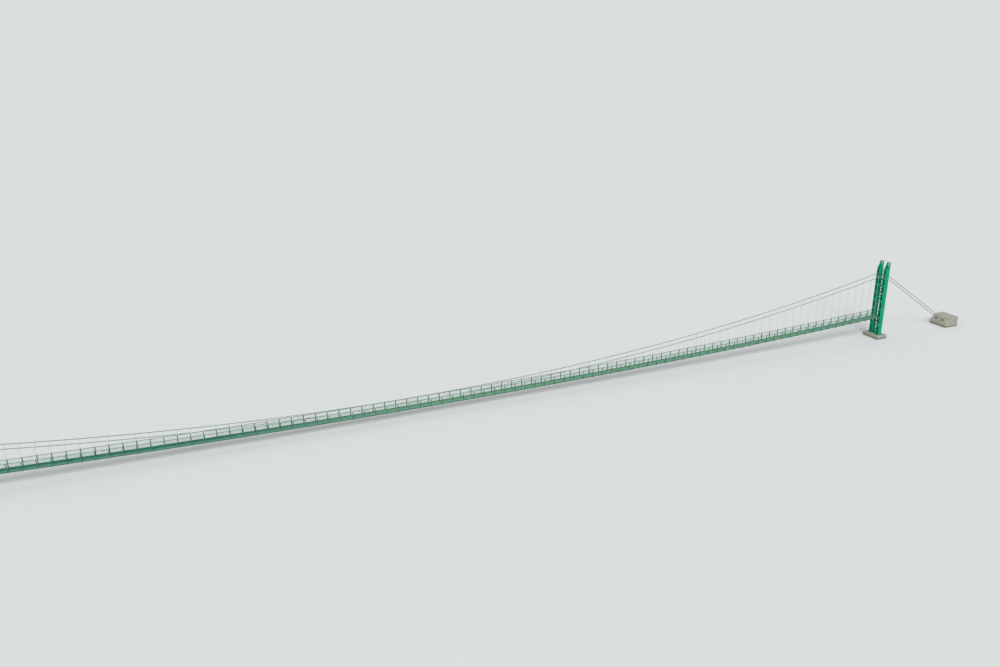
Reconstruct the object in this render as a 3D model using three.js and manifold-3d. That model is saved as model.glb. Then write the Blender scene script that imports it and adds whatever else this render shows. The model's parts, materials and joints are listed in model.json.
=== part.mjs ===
// A suspension footbridge at one tenth of its real size. The span runs along X, the near side is at
// -Y, Z is up, and the origin lies on the ground under the middle of the span.

import * as THREE from 'three';
import { mergeVertices } from 'three/addons/utils/BufferGeometryUtils.js';
import Module from 'manifold-3d';

const wasm = await Module();
wasm.setup();

// Every size below is the real bridge's, in metres. The model is a tenth of it, in millimetres.
const MODEL_MM_PER_METRE = 100;
const real = (metres) => metres * MODEL_MM_PER_METRE;

// Two touching pieces keep this gap in the model.
const GAP = 0.3;

// The span and its bays. A post stands at each bay line.
const BAY = real(1.55);
const BAYS_PER_SEGMENT = 18;
const SEGMENTS = 6;
const HALF_SPAN = (BAY * BAYS_PER_SEGMENT * SEGMENTS) / 2;
const CABLE_SPACING = real(1.4);

// The deck hangs in a shallow curve between the towers.
const DECK_END_HEIGHT = real(3.6);
const DECK_SAG = real(2.2);
const DECK_MID_HEIGHT = DECK_END_HEIGHT - DECK_SAG;

// The main cables come down to handrail height in mid span and climb far above it at the towers.
const CABLE_RADIUS = real(0.05);
const CABLE_SIDES = 6;
const CABLE_OVER_DECK = real(1.05);
const CABLE_CLIMB = real(6.35);
const BAYS_PER_CABLE_STEP = 2;
const HANGER_WIDTH = real(0.024);

// The side frames stand on the cross beams, just inside the cables: edge beam, posts and handrail.
const FRAME_SPACING = real(1.24);
const FRAME_THICKNESS = real(0.05);
const POST_WIDTH = real(0.1);
const BEAM_TOP = real(0.05);
const RAIL_TOP = real(1.1);
const RAIL_HEIGHT = real(0.05);
const BAYS_PER_STRAIGHT = 3;

// The deck: grating plate between the side frames, on cross beams that reach out to the hangers.
const PLATE_THICKNESS = real(0.04);
const CROSS_BEAM_WIDTH = real(0.08);
const CROSS_BEAM_HEIGHT = real(0.1);
const CROSS_BEAM_LENGTH = real(1.54);

// The towers. Each leg is a pair of side plates joined by battens, with a horn above the saddle.
const LEG_DEPTH = real(0.75);
const LEG_WIDTH = real(0.56);
const LEG_PLATE = real(0.08);
const BASE_PLATE_MARGIN = real(0.12);
const BASE_PLATE_THICKNESS = real(0.04);
const BATTEN_HEIGHT = real(0.45);
const BATTEN_PITCH = real(1.35);
const HORN_TOP_OVER_SADDLE = real(2.05);
const HORN_TAPER_START = real(0.75);
const HORN_SET_BACK = real(0.58);
const CAP_HEIGHT = real(0.15);
const SADDLE_RADIUS = real(0.9);
const SADDLE_BASE_DROP = real(0.32);
const SADDLE_LIP = real(0.03);
const SADDLE_START_FROM_AXIS = real(0.27);

// Bracing between the two legs of a tower.
const BRACE_DEPTH = real(0.12);
const BRACE_BAR = real(0.09);
const PORTAL_CLEARANCE = real(2.5);

// The landing that leads off the deck between the legs.
const LANDING_OVERHANG = real(0.6);
const LANDING_KERB = real(0.1);
const LANDING_KERB_WIDTH = real(0.04);

// Concrete.
const FOOTING_SIZE = [real(2.0), real(3.2), real(0.6)];
const ANCHOR_LENGTH = real(2.8);
const ANCHOR_WIDTH = real(3.2);
const ANCHOR_HEIGHT = real(1.7);
const ANCHOR_FACE_BOTTOM = real(0.6);
const BACKSTAY_ANGLE = THREE.MathUtils.degToRad(34);

// The steel socket that ends each cable on its anchor block.
const SOCKET_PLATE = [real(0.06), real(0.44), real(0.44)];
const SOCKET_LENGTH = real(0.5);
const SOCKET_RADII = [real(0.07), real(0.12)];

const ENDS = [['left', -1], ['right', 1]];
const SIDES = [['near', -1], ['far', 1]];

// Materials, with the finish that the real one has.
function paint(hex, roughness, metalness) {
  return new THREE.MeshStandardMaterial({ color: hex, roughness, metalness });
}
const greenPaint = () => paint(0x0f8f6c, 0.5, 0.1);
const galvanised = () => paint(0x9fb0a4, 0.6, 0.6);
const wireRope = () => paint(0xa9b5ab, 0.5, 0.7);
const concrete = () => paint(0x9a978c, 0.9, 0.0);

// Solids and booleans.
function toSolid(geometry) {
  const bare = geometry.clone();
  bare.deleteAttribute('normal');
  bare.deleteAttribute('uv');
  const merged = mergeVertices(bare, 1e-3);
  const mesh = new wasm.Mesh({
    numProp: 3,
    vertProperties: new Float32Array(merged.attributes.position.array),
    triVerts: new Uint32Array(merged.index.array),
  });
  return new wasm.Manifold(mesh);
}

function toGeometry(solid) {
  const mesh = solid.getMesh();
  const geometry = new THREE.BufferGeometry();
  geometry.setAttribute('position', new THREE.BufferAttribute(mesh.vertProperties, 3));
  geometry.setIndex(new THREE.BufferAttribute(mesh.triVerts, 1));
  return geometry;
}

function union(geometries) {
  return toGeometry(geometries.map(toSolid).reduce((sum, solid) => sum.add(solid)));
}

function block(x0, x1, y0, y1, z0, z1) {
  const geometry = new THREE.BoxGeometry(x1 - x0, y1 - y0, z1 - z0);
  return geometry.translate((x0 + x1) / 2, (y0 + y1) / 2, (z0 + z1) / 2);
}

// A shape drawn in X and Z, made solid from y0 to y1.
function slabAcross(shape, y0, y1) {
  const geometry = new THREE.ExtrudeGeometry(shape, { depth: y1 - y0, bevelEnabled: false });
  return geometry.rotateX(Math.PI / 2).translate(0, y1, 0);
}

// A shape drawn in Y and Z, made solid from x0 to x1.
function slabAlong(shape, x0, x1) {
  const geometry = new THREE.ExtrudeGeometry(shape, { depth: x1 - x0, bevelEnabled: false });
  const turn = new THREE.Matrix4().makeBasis(
    new THREE.Vector3(0, 1, 0),
    new THREE.Vector3(0, 0, 1),
    new THREE.Vector3(1, 0, 0),
  );
  return geometry.applyMatrix4(turn).translate(x0, 0, 0);
}

function outline(points) {
  return new THREE.Shape(points.map(([a, b]) => new THREE.Vector2(a, b)));
}

function cutOut(shape, points) {
  shape.holes.push(new THREE.Path(points.map(([a, b]) => new THREE.Vector2(a, b))));
}

// Curves of the span.
const deckHeight = (x) => DECK_MID_HEIGHT + DECK_SAG * (x / HALF_SPAN) ** 2;
const spanCableHeight = (x) => deckHeight(x) + CABLE_OVER_DECK + CABLE_CLIMB * (x / HALF_SPAN) ** 2;

// Where the cable leaves its span curve, bends over the saddle, and goes down to its anchor.
const saddleStartX = HALF_SPAN - SADDLE_START_FROM_AXIS;
const saddleStartZ = spanCableHeight(saddleStartX);
const spanSlope = Math.atan((2 * (DECK_SAG + CABLE_CLIMB) * saddleStartX) / HALF_SPAN ** 2);
const saddleCentre = new THREE.Vector2(
  saddleStartX + SADDLE_RADIUS * Math.sin(spanSlope),
  saddleStartZ - SADDLE_RADIUS * Math.cos(spanSlope),
);
const saddleTopZ = saddleCentre.y + SADDLE_RADIUS;
const onSaddle = (radius, slope) => [
  saddleCentre.x - radius * Math.sin(slope),
  saddleCentre.y + radius * Math.cos(slope),
];
const stayDirection = new THREE.Vector2(Math.cos(BACKSTAY_ANGLE), -Math.sin(BACKSTAY_ANGLE));
const stayStart = new THREE.Vector2(...onSaddle(SADDLE_RADIUS, -BACKSTAY_ANGLE));

// The sloping face of the anchor block stands square to the cable, which meets it in the middle.
const anchorFaceRun = (ANCHOR_HEIGHT - ANCHOR_FACE_BOTTOM) * Math.tan(BACKSTAY_ANGLE);
const anchorFaceZ = (ANCHOR_HEIGHT + ANCHOR_FACE_BOTTOM) / 2;
const stayRun = (stayStart.y - anchorFaceZ) / Math.tan(BACKSTAY_ANGLE);
const anchorFaceX = stayStart.x + stayRun;
const anchorX0 = anchorFaceX - anchorFaceRun / 2;
const socketReach = SOCKET_LENGTH + SOCKET_PLATE[0] + 2 * GAP;

// Tower heights.
const footingTop = FOOTING_SIZE[2];
const saddleBase = saddleTopZ - SADDLE_BASE_DROP;
const hornTop = saddleTopZ + HORN_TOP_OVER_SADDLE;
const legFoot = footingTop + GAP;
const baseTop = legFoot + BASE_PLATE_THICKNESS;
const legInnerY = CABLE_SPACING / 2 - LEG_WIDTH / 2;
const legFaceX = HALF_SPAN - LEG_DEPTH / 2;

// The stations along half of a main cable, from mid span to its anchor.
function halfCableStations() {
  const stations = [];
  const step = BAY * BAYS_PER_CABLE_STEP;
  for (let x = step; x < saddleStartX - step / 2; x += step) {
    stations.push([x, spanCableHeight(x)]);
  }
  const arcSteps = 4;
  for (let i = 0; i <= arcSteps; i += 1) {
    const slope = THREE.MathUtils.lerp(spanSlope, -BACKSTAY_ANGLE, i / arcSteps);
    stations.push(onSaddle(SADDLE_RADIUS, slope));
  }
  const end = new THREE.Vector2(anchorFaceX, anchorFaceZ).addScaledVector(stayDirection, -socketReach);
  stations.push([end.x, end.y]);
  return stations;
}

// A curve that passes its stations at even steps of its parameter, so that a tube along it has one
// ring at each station.
class StationCurve extends THREE.Curve {
  constructor(points) {
    super();
    this.points = points;
  }

  getPoint(t, target = new THREE.Vector3()) {
    const place = t * (this.points.length - 1);
    const index = Math.min(Math.floor(place), this.points.length - 2);
    return target.lerpVectors(this.points[index], this.points[index + 1], place - index);
  }

  getPointAt(u, target) {
    return this.getPoint(u, target);
  }

  getTangentAt(u, target = new THREE.Vector3()) {
    const nearby = 1e-4;
    const before = this.getPoint(Math.max(u - nearby, 0));
    return target.copy(this.getPoint(Math.min(u + nearby, 1))).sub(before).normalize();
  }
}

function cableSection() {
  const corners = [];
  for (let i = 0; i < CABLE_SIDES; i += 1) {
    const angle = (2 * Math.PI * i) / CABLE_SIDES;
    corners.push([CABLE_RADIUS * Math.sin(angle), CABLE_RADIUS * Math.cos(angle)]);
  }
  return outline(corners);
}

// A main cable from anchor to anchor, with the hangers that are clamped to it. Each hanger stands
// on the end of a cross beam.
function mainCable(y) {
  const half = halfCableStations();
  const mirrored = half.map(([x, z]) => [-x, z]).reverse();
  const stations = [...mirrored, [0, spanCableHeight(0)], ...half];
  const curve = new StationCurve(stations.map(([x, z]) => new THREE.Vector3(x, y, z)));
  const tube = new THREE.ExtrudeGeometry(cableSection(), {
    steps: stations.length - 1,
    extrudePath: curve,
  });
  const pieces = [tube];
  const bays = (BAYS_PER_SEGMENT * SEGMENTS) / 2;
  for (let i = -bays + 1; i < bays; i += 1) {
    const x = i * BAY;
    const foot = deckHeight(x) - PLATE_THICKNESS + GAP;
    const top = spanCableHeight(x) - CABLE_RADIUS / 2;
    const w = HANGER_WIDTH / 2;
    pieces.push(block(x - w, x + w, y - w, y + w, foot, top));
  }
  return union(pieces);
}

// The bay lines of one segment, and the two ends that its pieces are cut to.
function segmentRange(index) {
  const first = -HALF_SPAN + index * BAYS_PER_SEGMENT * BAY;
  const last = first + BAYS_PER_SEGMENT * BAY;
  const start = Math.max(first + GAP / 2, -legFaceX + GAP);
  const end = Math.min(last - GAP / 2, legFaceX - GAP);
  const lines = [];
  for (let i = 0; i <= BAYS_PER_SEGMENT; i += 1) {
    lines.push(THREE.MathUtils.clamp(first + i * BAY, start, end));
  }
  return { start, end, lines };
}

// A side frame: one flat welded piece with an edge beam, posts and a handrail.
function sideFrame(index, side) {
  const { lines } = segmentRange(index);
  const corners = lines.filter((x, i) => i % BAYS_PER_STRAIGHT === 0);
  const bottom = corners.map((x) => [x, deckHeight(x) - PLATE_THICKNESS + GAP]);
  const top = corners.map((x) => [x, deckHeight(x) + RAIL_TOP]).reverse();
  const shape = outline([...bottom, ...top]);
  for (let i = 0; i < BAYS_PER_SEGMENT; i += 1) {
    const x0 = lines[i] + POST_WIDTH / 2;
    const x1 = lines[i + 1] - POST_WIDTH / 2;
    const low0 = deckHeight(x0) + BEAM_TOP;
    const low1 = deckHeight(x1) + BEAM_TOP;
    const high = RAIL_TOP - RAIL_HEIGHT - BEAM_TOP;
    cutOut(shape, [[x0, low0], [x0, low0 + high], [x1, low1 + high], [x1, low1]]);
  }
  const y = (side * FRAME_SPACING) / 2;
  return slabAcross(shape, y - FRAME_THICKNESS / 2, y + FRAME_THICKNESS / 2);
}

// A deck panel: the grating and the cross beams under it, which are as long as the hangers need.
function deckPanel(index) {
  const { start, end, lines } = segmentRange(index);
  const corners = lines.filter((x, i) => i % BAYS_PER_STRAIGHT === 0);
  const top = corners.map((x) => [x, deckHeight(x)]);
  const bottom = corners.map((x) => [x, deckHeight(x) - PLATE_THICKNESS]).reverse();
  const halfPlate = FRAME_SPACING / 2 - FRAME_THICKNESS / 2 - GAP;
  const pieces = [slabAcross(outline([...top, ...bottom]), -halfPlate, halfPlate)];
  const halfBeam = CROSS_BEAM_LENGTH / 2;
  lines.forEach((x) => {
    const x0 = Math.max(x - CROSS_BEAM_WIDTH / 2, start);
    const x1 = Math.min(x + CROSS_BEAM_WIDTH / 2, end);
    const seat = deckHeight(x) - PLATE_THICKNESS;
    const low = seat - CROSS_BEAM_HEIGHT;
    pieces.push(block(x0, x1, -halfBeam, halfBeam, low, seat));
    pieces.push(block(x0, x1, -halfPlate, halfPlate, low, seat + PLATE_THICKNESS / 2));
  });
  return union(pieces);
}

// A tower leg: two side plates and their battens on a base plate. Seen from the span it is a ladder,
// and from the side its horn slopes back towards the anchor.
function towerLeg(end, side) {
  const centre = (side * CABLE_SPACING) / 2;
  const y0 = centre - LEG_WIDTH / 2;
  const y1 = centre + LEG_WIDTH / 2;
  const ladder = outline([[y0, legFoot], [y1, legFoot], [y1, hornTop], [y0, hornTop]]);
  const window = (z0, z1) => cutOut(ladder, [
    [y0 + LEG_PLATE, z0],
    [y0 + LEG_PLATE, z1],
    [y1 - LEG_PLATE, z1],
    [y1 - LEG_PLATE, z0],
  ]);
  let top = saddleBase - BATTEN_HEIGHT;
  while (top - BATTEN_PITCH + BATTEN_HEIGHT > legFoot + BATTEN_HEIGHT / 2) {
    window(top - BATTEN_PITCH + BATTEN_HEIGHT, top);
    top -= BATTEN_PITCH;
  }
  window(saddleBase, hornTop - CAP_HEIGHT);
  const front = legFaceX;
  const back = HALF_SPAN + LEG_DEPTH / 2;
  const profile = outline([
    [front * end, legFoot],
    [back * end, legFoot],
    [back * end, hornTop],
    [(front + HORN_SET_BACK) * end, hornTop],
    [front * end, saddleTopZ + HORN_TAPER_START],
  ]);
  const xs = [front * end, back * end].sort((a, b) => a - b);
  const plates = toSolid(slabAlong(ladder, xs[0], xs[1]));
  const column = plates.intersect(toSolid(slabAcross(profile, y0 - 1, y1 + 1)));
  const margin = BASE_PLATE_MARGIN;
  const base = block(xs[0] - margin, xs[1] + margin, y0 - margin, y1 + margin, legFoot, baseTop);
  return toGeometry(column.add(toSolid(base)));
}

// A saddle: a curved bed under the cable between two lips.
function saddle(end, side) {
  const y = (side * CABLE_SPACING) / 2;
  const bed = SADDLE_RADIUS - CABLE_RADIUS - GAP;
  const curved = (radius) => {
    const points = [];
    const steps = 4;
    for (let i = 0; i <= steps; i += 1) {
      const slope = THREE.MathUtils.lerp(spanSlope, -BACKSTAY_ANGLE, i / steps);
      const [x, z] = onSaddle(radius, slope);
      points.push([x * end, z]);
    }
    const base = saddleBase + GAP;
    return outline([...points, [points[steps][0], base], [points[0][0], base]]);
  };
  const inner = CABLE_RADIUS + GAP;
  return union([
    slabAcross(curved(bed), y - inner - SADDLE_LIP / 2, y + inner + SADDLE_LIP / 2),
    slabAcross(curved(SADDLE_RADIUS), y - inner - SADDLE_LIP, y - inner),
    slabAcross(curved(SADDLE_RADIUS), y + inner, y + inner + SADDLE_LIP),
  ]);
}

// Flat cross bracing between the legs: level struts with a cross in each panel.
function bracing(end, z0, z1, panels) {
  const half = legInnerY - GAP;
  const pitch = (z1 - z0 - BRACE_BAR) / panels;
  const x0 = end * HALF_SPAN - BRACE_DEPTH / 2;
  const x1 = end * HALF_SPAN + BRACE_DEPTH / 2;
  const bars = [];
  for (let i = 0; i <= panels; i += 1) {
    const z = z0 + i * pitch;
    bars.push(slabAlong(outline([
      [-half, z], [half, z], [half, z + BRACE_BAR], [-half, z + BRACE_BAR],
    ]), x0, x1));
  }
  for (let i = 0; i < panels; i += 1) {
    const low = z0 + i * pitch;
    const high = low + pitch;
    [-1, 1].forEach((way) => {
      bars.push(slabAlong(outline([
        [-half * way, low],
        [half * way, high],
        [half * way, high + BRACE_BAR],
        [-half * way, low + BRACE_BAR],
      ]), x0, x1));
    });
  }
  return union(bars);
}

// The landing: a plate with a kerb along each edge, on the top strut of the base bracing.
function landing(end) {
  const half = legInnerY - GAP;
  const z = DECK_END_HEIGHT;
  const kerb = z + LANDING_KERB;
  const inner = half - LANDING_KERB_WIDTH;
  const section = outline([
    [-half, z - PLATE_THICKNESS], [half, z - PLATE_THICKNESS], [half, kerb], [inner, kerb],
    [inner, z], [-inner, z], [-inner, kerb], [-half, kerb],
  ]);
  const near = legFaceX;
  const far = HALF_SPAN + LEG_DEPTH / 2 + LANDING_OVERHANG;
  const xs = [near * end, far * end].sort((a, b) => a - b);
  return slabAlong(section, xs[0], xs[1]);
}

function footing(end) {
  const [length, width, height] = FOOTING_SIZE;
  const x = end * HALF_SPAN;
  return block(x - length / 2, x + length / 2, -width / 2, width / 2, 0, height);
}

function anchorBlock(end) {
  const shape = outline([
    [anchorX0 * end, 0],
    [(anchorX0 + ANCHOR_LENGTH) * end, 0],
    [(anchorX0 + ANCHOR_LENGTH) * end, ANCHOR_HEIGHT],
    [(anchorX0 + anchorFaceRun) * end, ANCHOR_HEIGHT],
    [anchorX0 * end, ANCHOR_FACE_BOTTOM],
  ]);
  return slabAcross(shape, -ANCHOR_WIDTH / 2, ANCHOR_WIDTH / 2);
}

// A socket: a square plate on the block's sloping face and a cone that grips the cable's end.
function anchorSocket(end, side) {
  const [thickness, width, height] = SOCKET_PLATE;
  const plate = new THREE.BoxGeometry(thickness, width, height).translate(-thickness / 2 - GAP, 0, 0);
  const cone = new THREE.CylinderGeometry(SOCKET_RADII[1], SOCKET_RADII[0], SOCKET_LENGTH, 10);
  cone.rotateZ(-Math.PI / 2).translate(-thickness - GAP - SOCKET_LENGTH / 2 + GAP, 0, 0);
  const geometry = union([plate, cone]);
  geometry.rotateY(BACKSTAY_ANGLE).translate(anchorFaceX, 0, anchorFaceZ);
  if (end < 0) {
    geometry.rotateZ(Math.PI);
  }
  return geometry.translate(0, (side * CABLE_SPACING) / 2, 0);
}

const bridge = new THREE.Group();

function add(name, geometry, material) {
  const mesh = new THREE.Mesh(geometry, material);
  mesh.name = name;
  bridge.add(mesh);
}

SIDES.forEach(([sideName, side]) => {
  add(`main_cable_${sideName}`, mainCable((side * CABLE_SPACING) / 2), wireRope());
  for (let i = 0; i < SEGMENTS; i += 1) {
    add(`side_frame_${sideName}_${i + 1}`, sideFrame(i, side), greenPaint());
  }
});
for (let i = 0; i < SEGMENTS; i += 1) {
  add(`deck_panel_${i + 1}`, deckPanel(i), galvanised());
}
ENDS.forEach(([endName, end]) => {
  SIDES.forEach(([sideName, side]) => {
    add(`tower_leg_${endName}_${sideName}`, towerLeg(end, side), greenPaint());
    add(`saddle_${endName}_${sideName}`, saddle(end, side), galvanised());
    add(`anchor_socket_${endName}_${sideName}`, anchorSocket(end, side), galvanised());
  });
  const sill = DECK_END_HEIGHT - PLATE_THICKNESS - GAP;
  const lintel = DECK_END_HEIGHT + PORTAL_CLEARANCE;
  add(`base_bracing_${endName}`, bracing(end, baseTop + GAP, sill, 2), greenPaint());
  add(`tower_bracing_${endName}`, bracing(end, lintel, saddleBase, 4), greenPaint());
  add(`landing_${endName}`, landing(end), galvanised());
  add(`tower_footing_${endName}`, footing(end), concrete());
  add(`anchor_block_${endName}`, anchorBlock(end), concrete());
});

export default bridge;
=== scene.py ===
# %% [markdown]
# A long suspension footbridge, as a model at one tenth of its real size. Two bundles of wire rope
# carry a grating deck between green painted side frames, and a green portal tower stands at each
# end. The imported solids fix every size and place. This lesson dresses them: fine steelwork, wire
# mesh, ropes, concrete and their finishes.

# %% Load the fixed frame
import json
import math

import bpy
import numpy as np
from mathutils import Matrix, Vector


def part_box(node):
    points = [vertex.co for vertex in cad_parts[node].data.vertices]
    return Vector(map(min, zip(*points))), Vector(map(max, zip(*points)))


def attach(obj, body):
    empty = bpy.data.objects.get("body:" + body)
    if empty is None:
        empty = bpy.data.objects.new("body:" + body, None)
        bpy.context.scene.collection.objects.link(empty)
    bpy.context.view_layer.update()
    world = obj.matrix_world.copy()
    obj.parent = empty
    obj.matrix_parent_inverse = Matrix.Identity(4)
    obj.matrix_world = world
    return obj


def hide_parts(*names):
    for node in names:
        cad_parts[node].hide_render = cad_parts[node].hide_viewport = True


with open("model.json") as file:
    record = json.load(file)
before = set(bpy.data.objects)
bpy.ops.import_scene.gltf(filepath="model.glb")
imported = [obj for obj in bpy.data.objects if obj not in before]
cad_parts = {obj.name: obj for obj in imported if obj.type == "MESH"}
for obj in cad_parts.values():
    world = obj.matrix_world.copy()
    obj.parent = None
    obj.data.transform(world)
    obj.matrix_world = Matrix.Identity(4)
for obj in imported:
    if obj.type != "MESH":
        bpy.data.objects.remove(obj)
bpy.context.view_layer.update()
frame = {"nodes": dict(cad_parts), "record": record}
print("solids:", len(frame["nodes"]))

# %% [markdown]
# Steelwork is drawn in the sizes of the real bridge, because those are the sizes that a maker knows:
# a handrail pipe of 50 mm, a mesh of 50 mm. One function turns a real length into a model length.
# The places come from the boxes of the solids, so that nothing has to be fitted afterwards.

# %% Real sizes, and places read from the solids
MODEL_SCALE = 0.1


def real(metres):
    """A length on the real bridge, in metres of the model."""
    return metres * MODEL_SCALE


def real_mm(millimetres):
    return real(millimetres / 1000)


BAYS_PER_SEGMENT = 18
SEGMENTS = 6
GRATING_DEPTH = real_mm(40)
CROSS_BEAM_DEPTH = real_mm(100)
BASE_PLATE_MARGIN = real_mm(120)
KERB_HEIGHT = real_mm(100)


def middle_y(node):
    low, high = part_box(node)
    return (low.y + high.y) / 2


leg_low, leg_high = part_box("tower_leg_right_far")
landing_low, landing_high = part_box("landing_right")
leg_front = leg_low.x + BASE_PLATE_MARGIN
leg_back = leg_high.x - BASE_PLATE_MARGIN
tower_x = (leg_low.x + leg_high.x) / 2
segment = 2 * tower_x / SEGMENTS
bay = segment / BAYS_PER_SEGMENT
deck_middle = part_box("deck_panel_4")[0].z + CROSS_BEAM_DEPTH + GRATING_DEPTH
deck_end = landing_high.z - KERB_HEIGHT
deck_sag = deck_end - deck_middle
cable_y = middle_y("main_cable_far")
frame_y = middle_y("side_frame_far_4")
leg_y = middle_y("tower_leg_right_far")
print("half span", round(tower_x, 4), "bay", round(bay, 4))
print("deck height", round(deck_middle, 4), "to", round(deck_end, 4))
print("cables at y", round(cable_y, 4), "side frames at y", round(frame_y, 4))

# %% [markdown]
# The deck hangs in a parabola, and so does each main cable between the towers. Steel parts are
# modelled straight and level first, which is easy, and then each of their points is lifted by the
# height of the curve at its own place along the span. Posts stay upright that way, as on the bridge.

# %% The curves of the span
ROPE_OVER_DECK = real(1.05)
ROPE_CLIMB = real(6.35)


def deck_height(x):
    return deck_middle + deck_sag * (x / tower_x) ** 2


def rope_height(x):
    return deck_height(x) + ROPE_OVER_DECK + ROPE_CLIMB * (x / tower_x) ** 2


def points_of(piece):
    flat = np.empty(len(piece.data.vertices) * 3)
    piece.data.vertices.foreach_get("co", flat)
    return flat.reshape(-1, 3)


def move_points(piece, places):
    piece.data.vertices.foreach_set("co", np.asarray(places, dtype=np.float64).ravel())
    piece.data.update()


def lift_to(curve, piece):
    places = points_of(piece)
    places[:, 2] += curve(places[:, 0])
    move_points(piece, places)
    return piece


print("rope height in mid span", round(rope_height(0), 4))
print("rope height at the tower", round(rope_height(tower_x), 4))

# %% [markdown]
# Each finish is named for the real one. A single small function adds a shader node, gives it its
# settings and links its inputs, and another turns the hex colours of a paint chart into the linear
# values that the renderer works with. Some nodes hide sockets that share a name with one in use, so
# the function looks only among those in use. An input that is given a whole node is linked to the
# first output that this node shows, which is the one that is wanted most.

# %% Helpers for finishes


def linear(hex_colour):
    """An sRGB hex colour as linear red, green, blue and alpha."""
    channels = [int(hex_colour[i:i + 2], 16) / 255 for i in (0, 2, 4)]
    return [c / 12.92 if c <= 0.04045 else ((c + 0.055) / 1.055) ** 2.4 for c in channels] + [1.0]


def in_use(sockets, name=None):
    """The first socket that the node shows, or the first with a name. A number picks by place."""
    if isinstance(name, int):
        return sockets[name]
    return next(socket for socket in sockets if socket.enabled and name in (None, socket.name))


def add_node(material, kind, inputs=None, **settings):
    """Adds a node. An input is given a value, or a node or an output socket to link to."""
    made = material.node_tree.nodes.new(kind)
    for key, value in settings.items():
        setattr(made, key, value)
    for name, value in (inputs or {}).items():
        if isinstance(value, bpy.types.Node):
            value = in_use(value.outputs)
        if isinstance(value, bpy.types.NodeSocket):
            material.node_tree.links.new(value, in_use(made.inputs, name))
        else:
            in_use(made.inputs, name).default_value = value
    return made


def empty_material(name):
    """A material with no nodes yet, and the place on the piece that its patterns are drawn by."""
    material = bpy.data.materials.new(name)
    material.use_nodes = True
    material.node_tree.nodes.clear()
    return material, add_node(material, "ShaderNodeTexCoord").outputs["Object"]


def close_material(material, inputs):
    """Adds the shader that the finish ends in."""
    shader = add_node(material, "ShaderNodeBsdfPrincipled", inputs)
    add_node(material, "ShaderNodeOutputMaterial", {"Surface": shader})


def cycles_per(millimetres):
    """The texture scale at which one cell of a pattern has this real size."""
    return 1 / real_mm(millimetres)


print("a 50 mm pattern has scale", cycles_per(50))

# %% [markdown]
# Green enamel is an alkyd gloss paint, rolled on to primed steel and then years in rain and sun. To
# the eye it is a deep blue green that has chalked paler in broad patches, with darker wet streaks
# that run down from joints, and a fine orange peel that breaks up its gloss. The patches are a broad
# noise, and the streaks are a noise stretched in Z. The towers have a fresher, brighter coat than
# the side frames, which read almost black green against the pale deck.

# %% Green enamel on steel


def green_enamel(name, fresh, chalked, wet):
    paint, place = empty_material(name)
    patches = add_node(paint, "ShaderNodeTexNoise", {
        "Vector": place, "Scale": cycles_per(900), "Detail": 5.0})
    run_down = add_node(paint, "ShaderNodeMapping", {"Vector": place, "Scale": (1.0, 1.0, 0.07)})
    streaks = add_node(paint, "ShaderNodeTexNoise", {
        "Vector": run_down, "Scale": cycles_per(60), "Detail": 3.0})
    chalk = add_node(paint, "ShaderNodeMapRange", {
        "Value": patches, "From Min": 0.35, "From Max": 0.7})
    darker_share = add_node(paint, "ShaderNodeMapRange", {
        "Value": streaks, "From Min": 0.52, "From Max": 0.75, "To Max": 0.5})
    faded = add_node(paint, "ShaderNodeMix", {
        "Factor": chalk, "A": linear(fresh), "B": linear(chalked)}, data_type="RGBA")
    stained = add_node(paint, "ShaderNodeMix", {
        "Factor": darker_share, "A": faded, "B": linear(wet)}, data_type="RGBA")
    gloss = add_node(paint, "ShaderNodeMapRange", {
        "Value": patches, "To Min": 0.38, "To Max": 0.62})
    peel = add_node(paint, "ShaderNodeTexNoise", {
        "Vector": place, "Scale": cycles_per(9), "Detail": 1.0})
    peel_bump = add_node(paint, "ShaderNodeBump", {
        "Height": peel, "Strength": 0.25, "Distance": real_mm(1)})
    close_material(paint, {
        "Base Color": stained, "Roughness": gloss, "Specular IOR Level": 0.15, "Normal": peel_bump})
    return paint


tower_enamel = green_enamel("bright_green_enamel_on_steel", "008663", "049472", "025c46")
frame_enamel = green_enamel("dark_green_enamel_on_steel", "005442", "086652", "02342a")
print("finishes:", tower_enamel.name, frame_enamel.name)

# %% [markdown]
# The wire mesh is galvanised wire with a green vinyl coat, drawn on hot. The coat is a clear mid
# green, duller than enamel and with no grain of its own, and it collects a little grey dirt.

# %% Vinyl coated wire
coated_wire, place = empty_material("green_vinyl_coated_wire")
dirt = add_node(coated_wire, "ShaderNodeTexNoise", {
    "Vector": place, "Scale": cycles_per(400), "Detail": 4.0})
dusted = add_node(coated_wire, "ShaderNodeMix", {
    "Factor": dirt, "A": linear("007a58"), "B": linear("2b8a6c")}, data_type="RGBA")
close_material(coated_wire, {"Base Color": dusted, "Roughness": 0.5})
print("finish:", coated_wire.name)

# %% [markdown]
# Hot dip galvanised steel comes out of the zinc bath bright, with a crystal pattern called spangle,
# and turns a dull pale grey in a few wet years. The spangle is a Voronoi pattern of 14 mm cells. The
# grating's greys are tinted green with painted green light from the canopy, and in patches they turn
# a darker teal along the far edge and towards the left end, by the place across and along the deck.

# %% Galvanised steel
TINT_STARTS_ACROSS = -0.85 * frame_y
TINT_FULL_ACROSS = 0.2 * frame_y
TINT_STARTS_ALONG = -real(2)
TINT_FULL_ALONG = -real(24)


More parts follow.
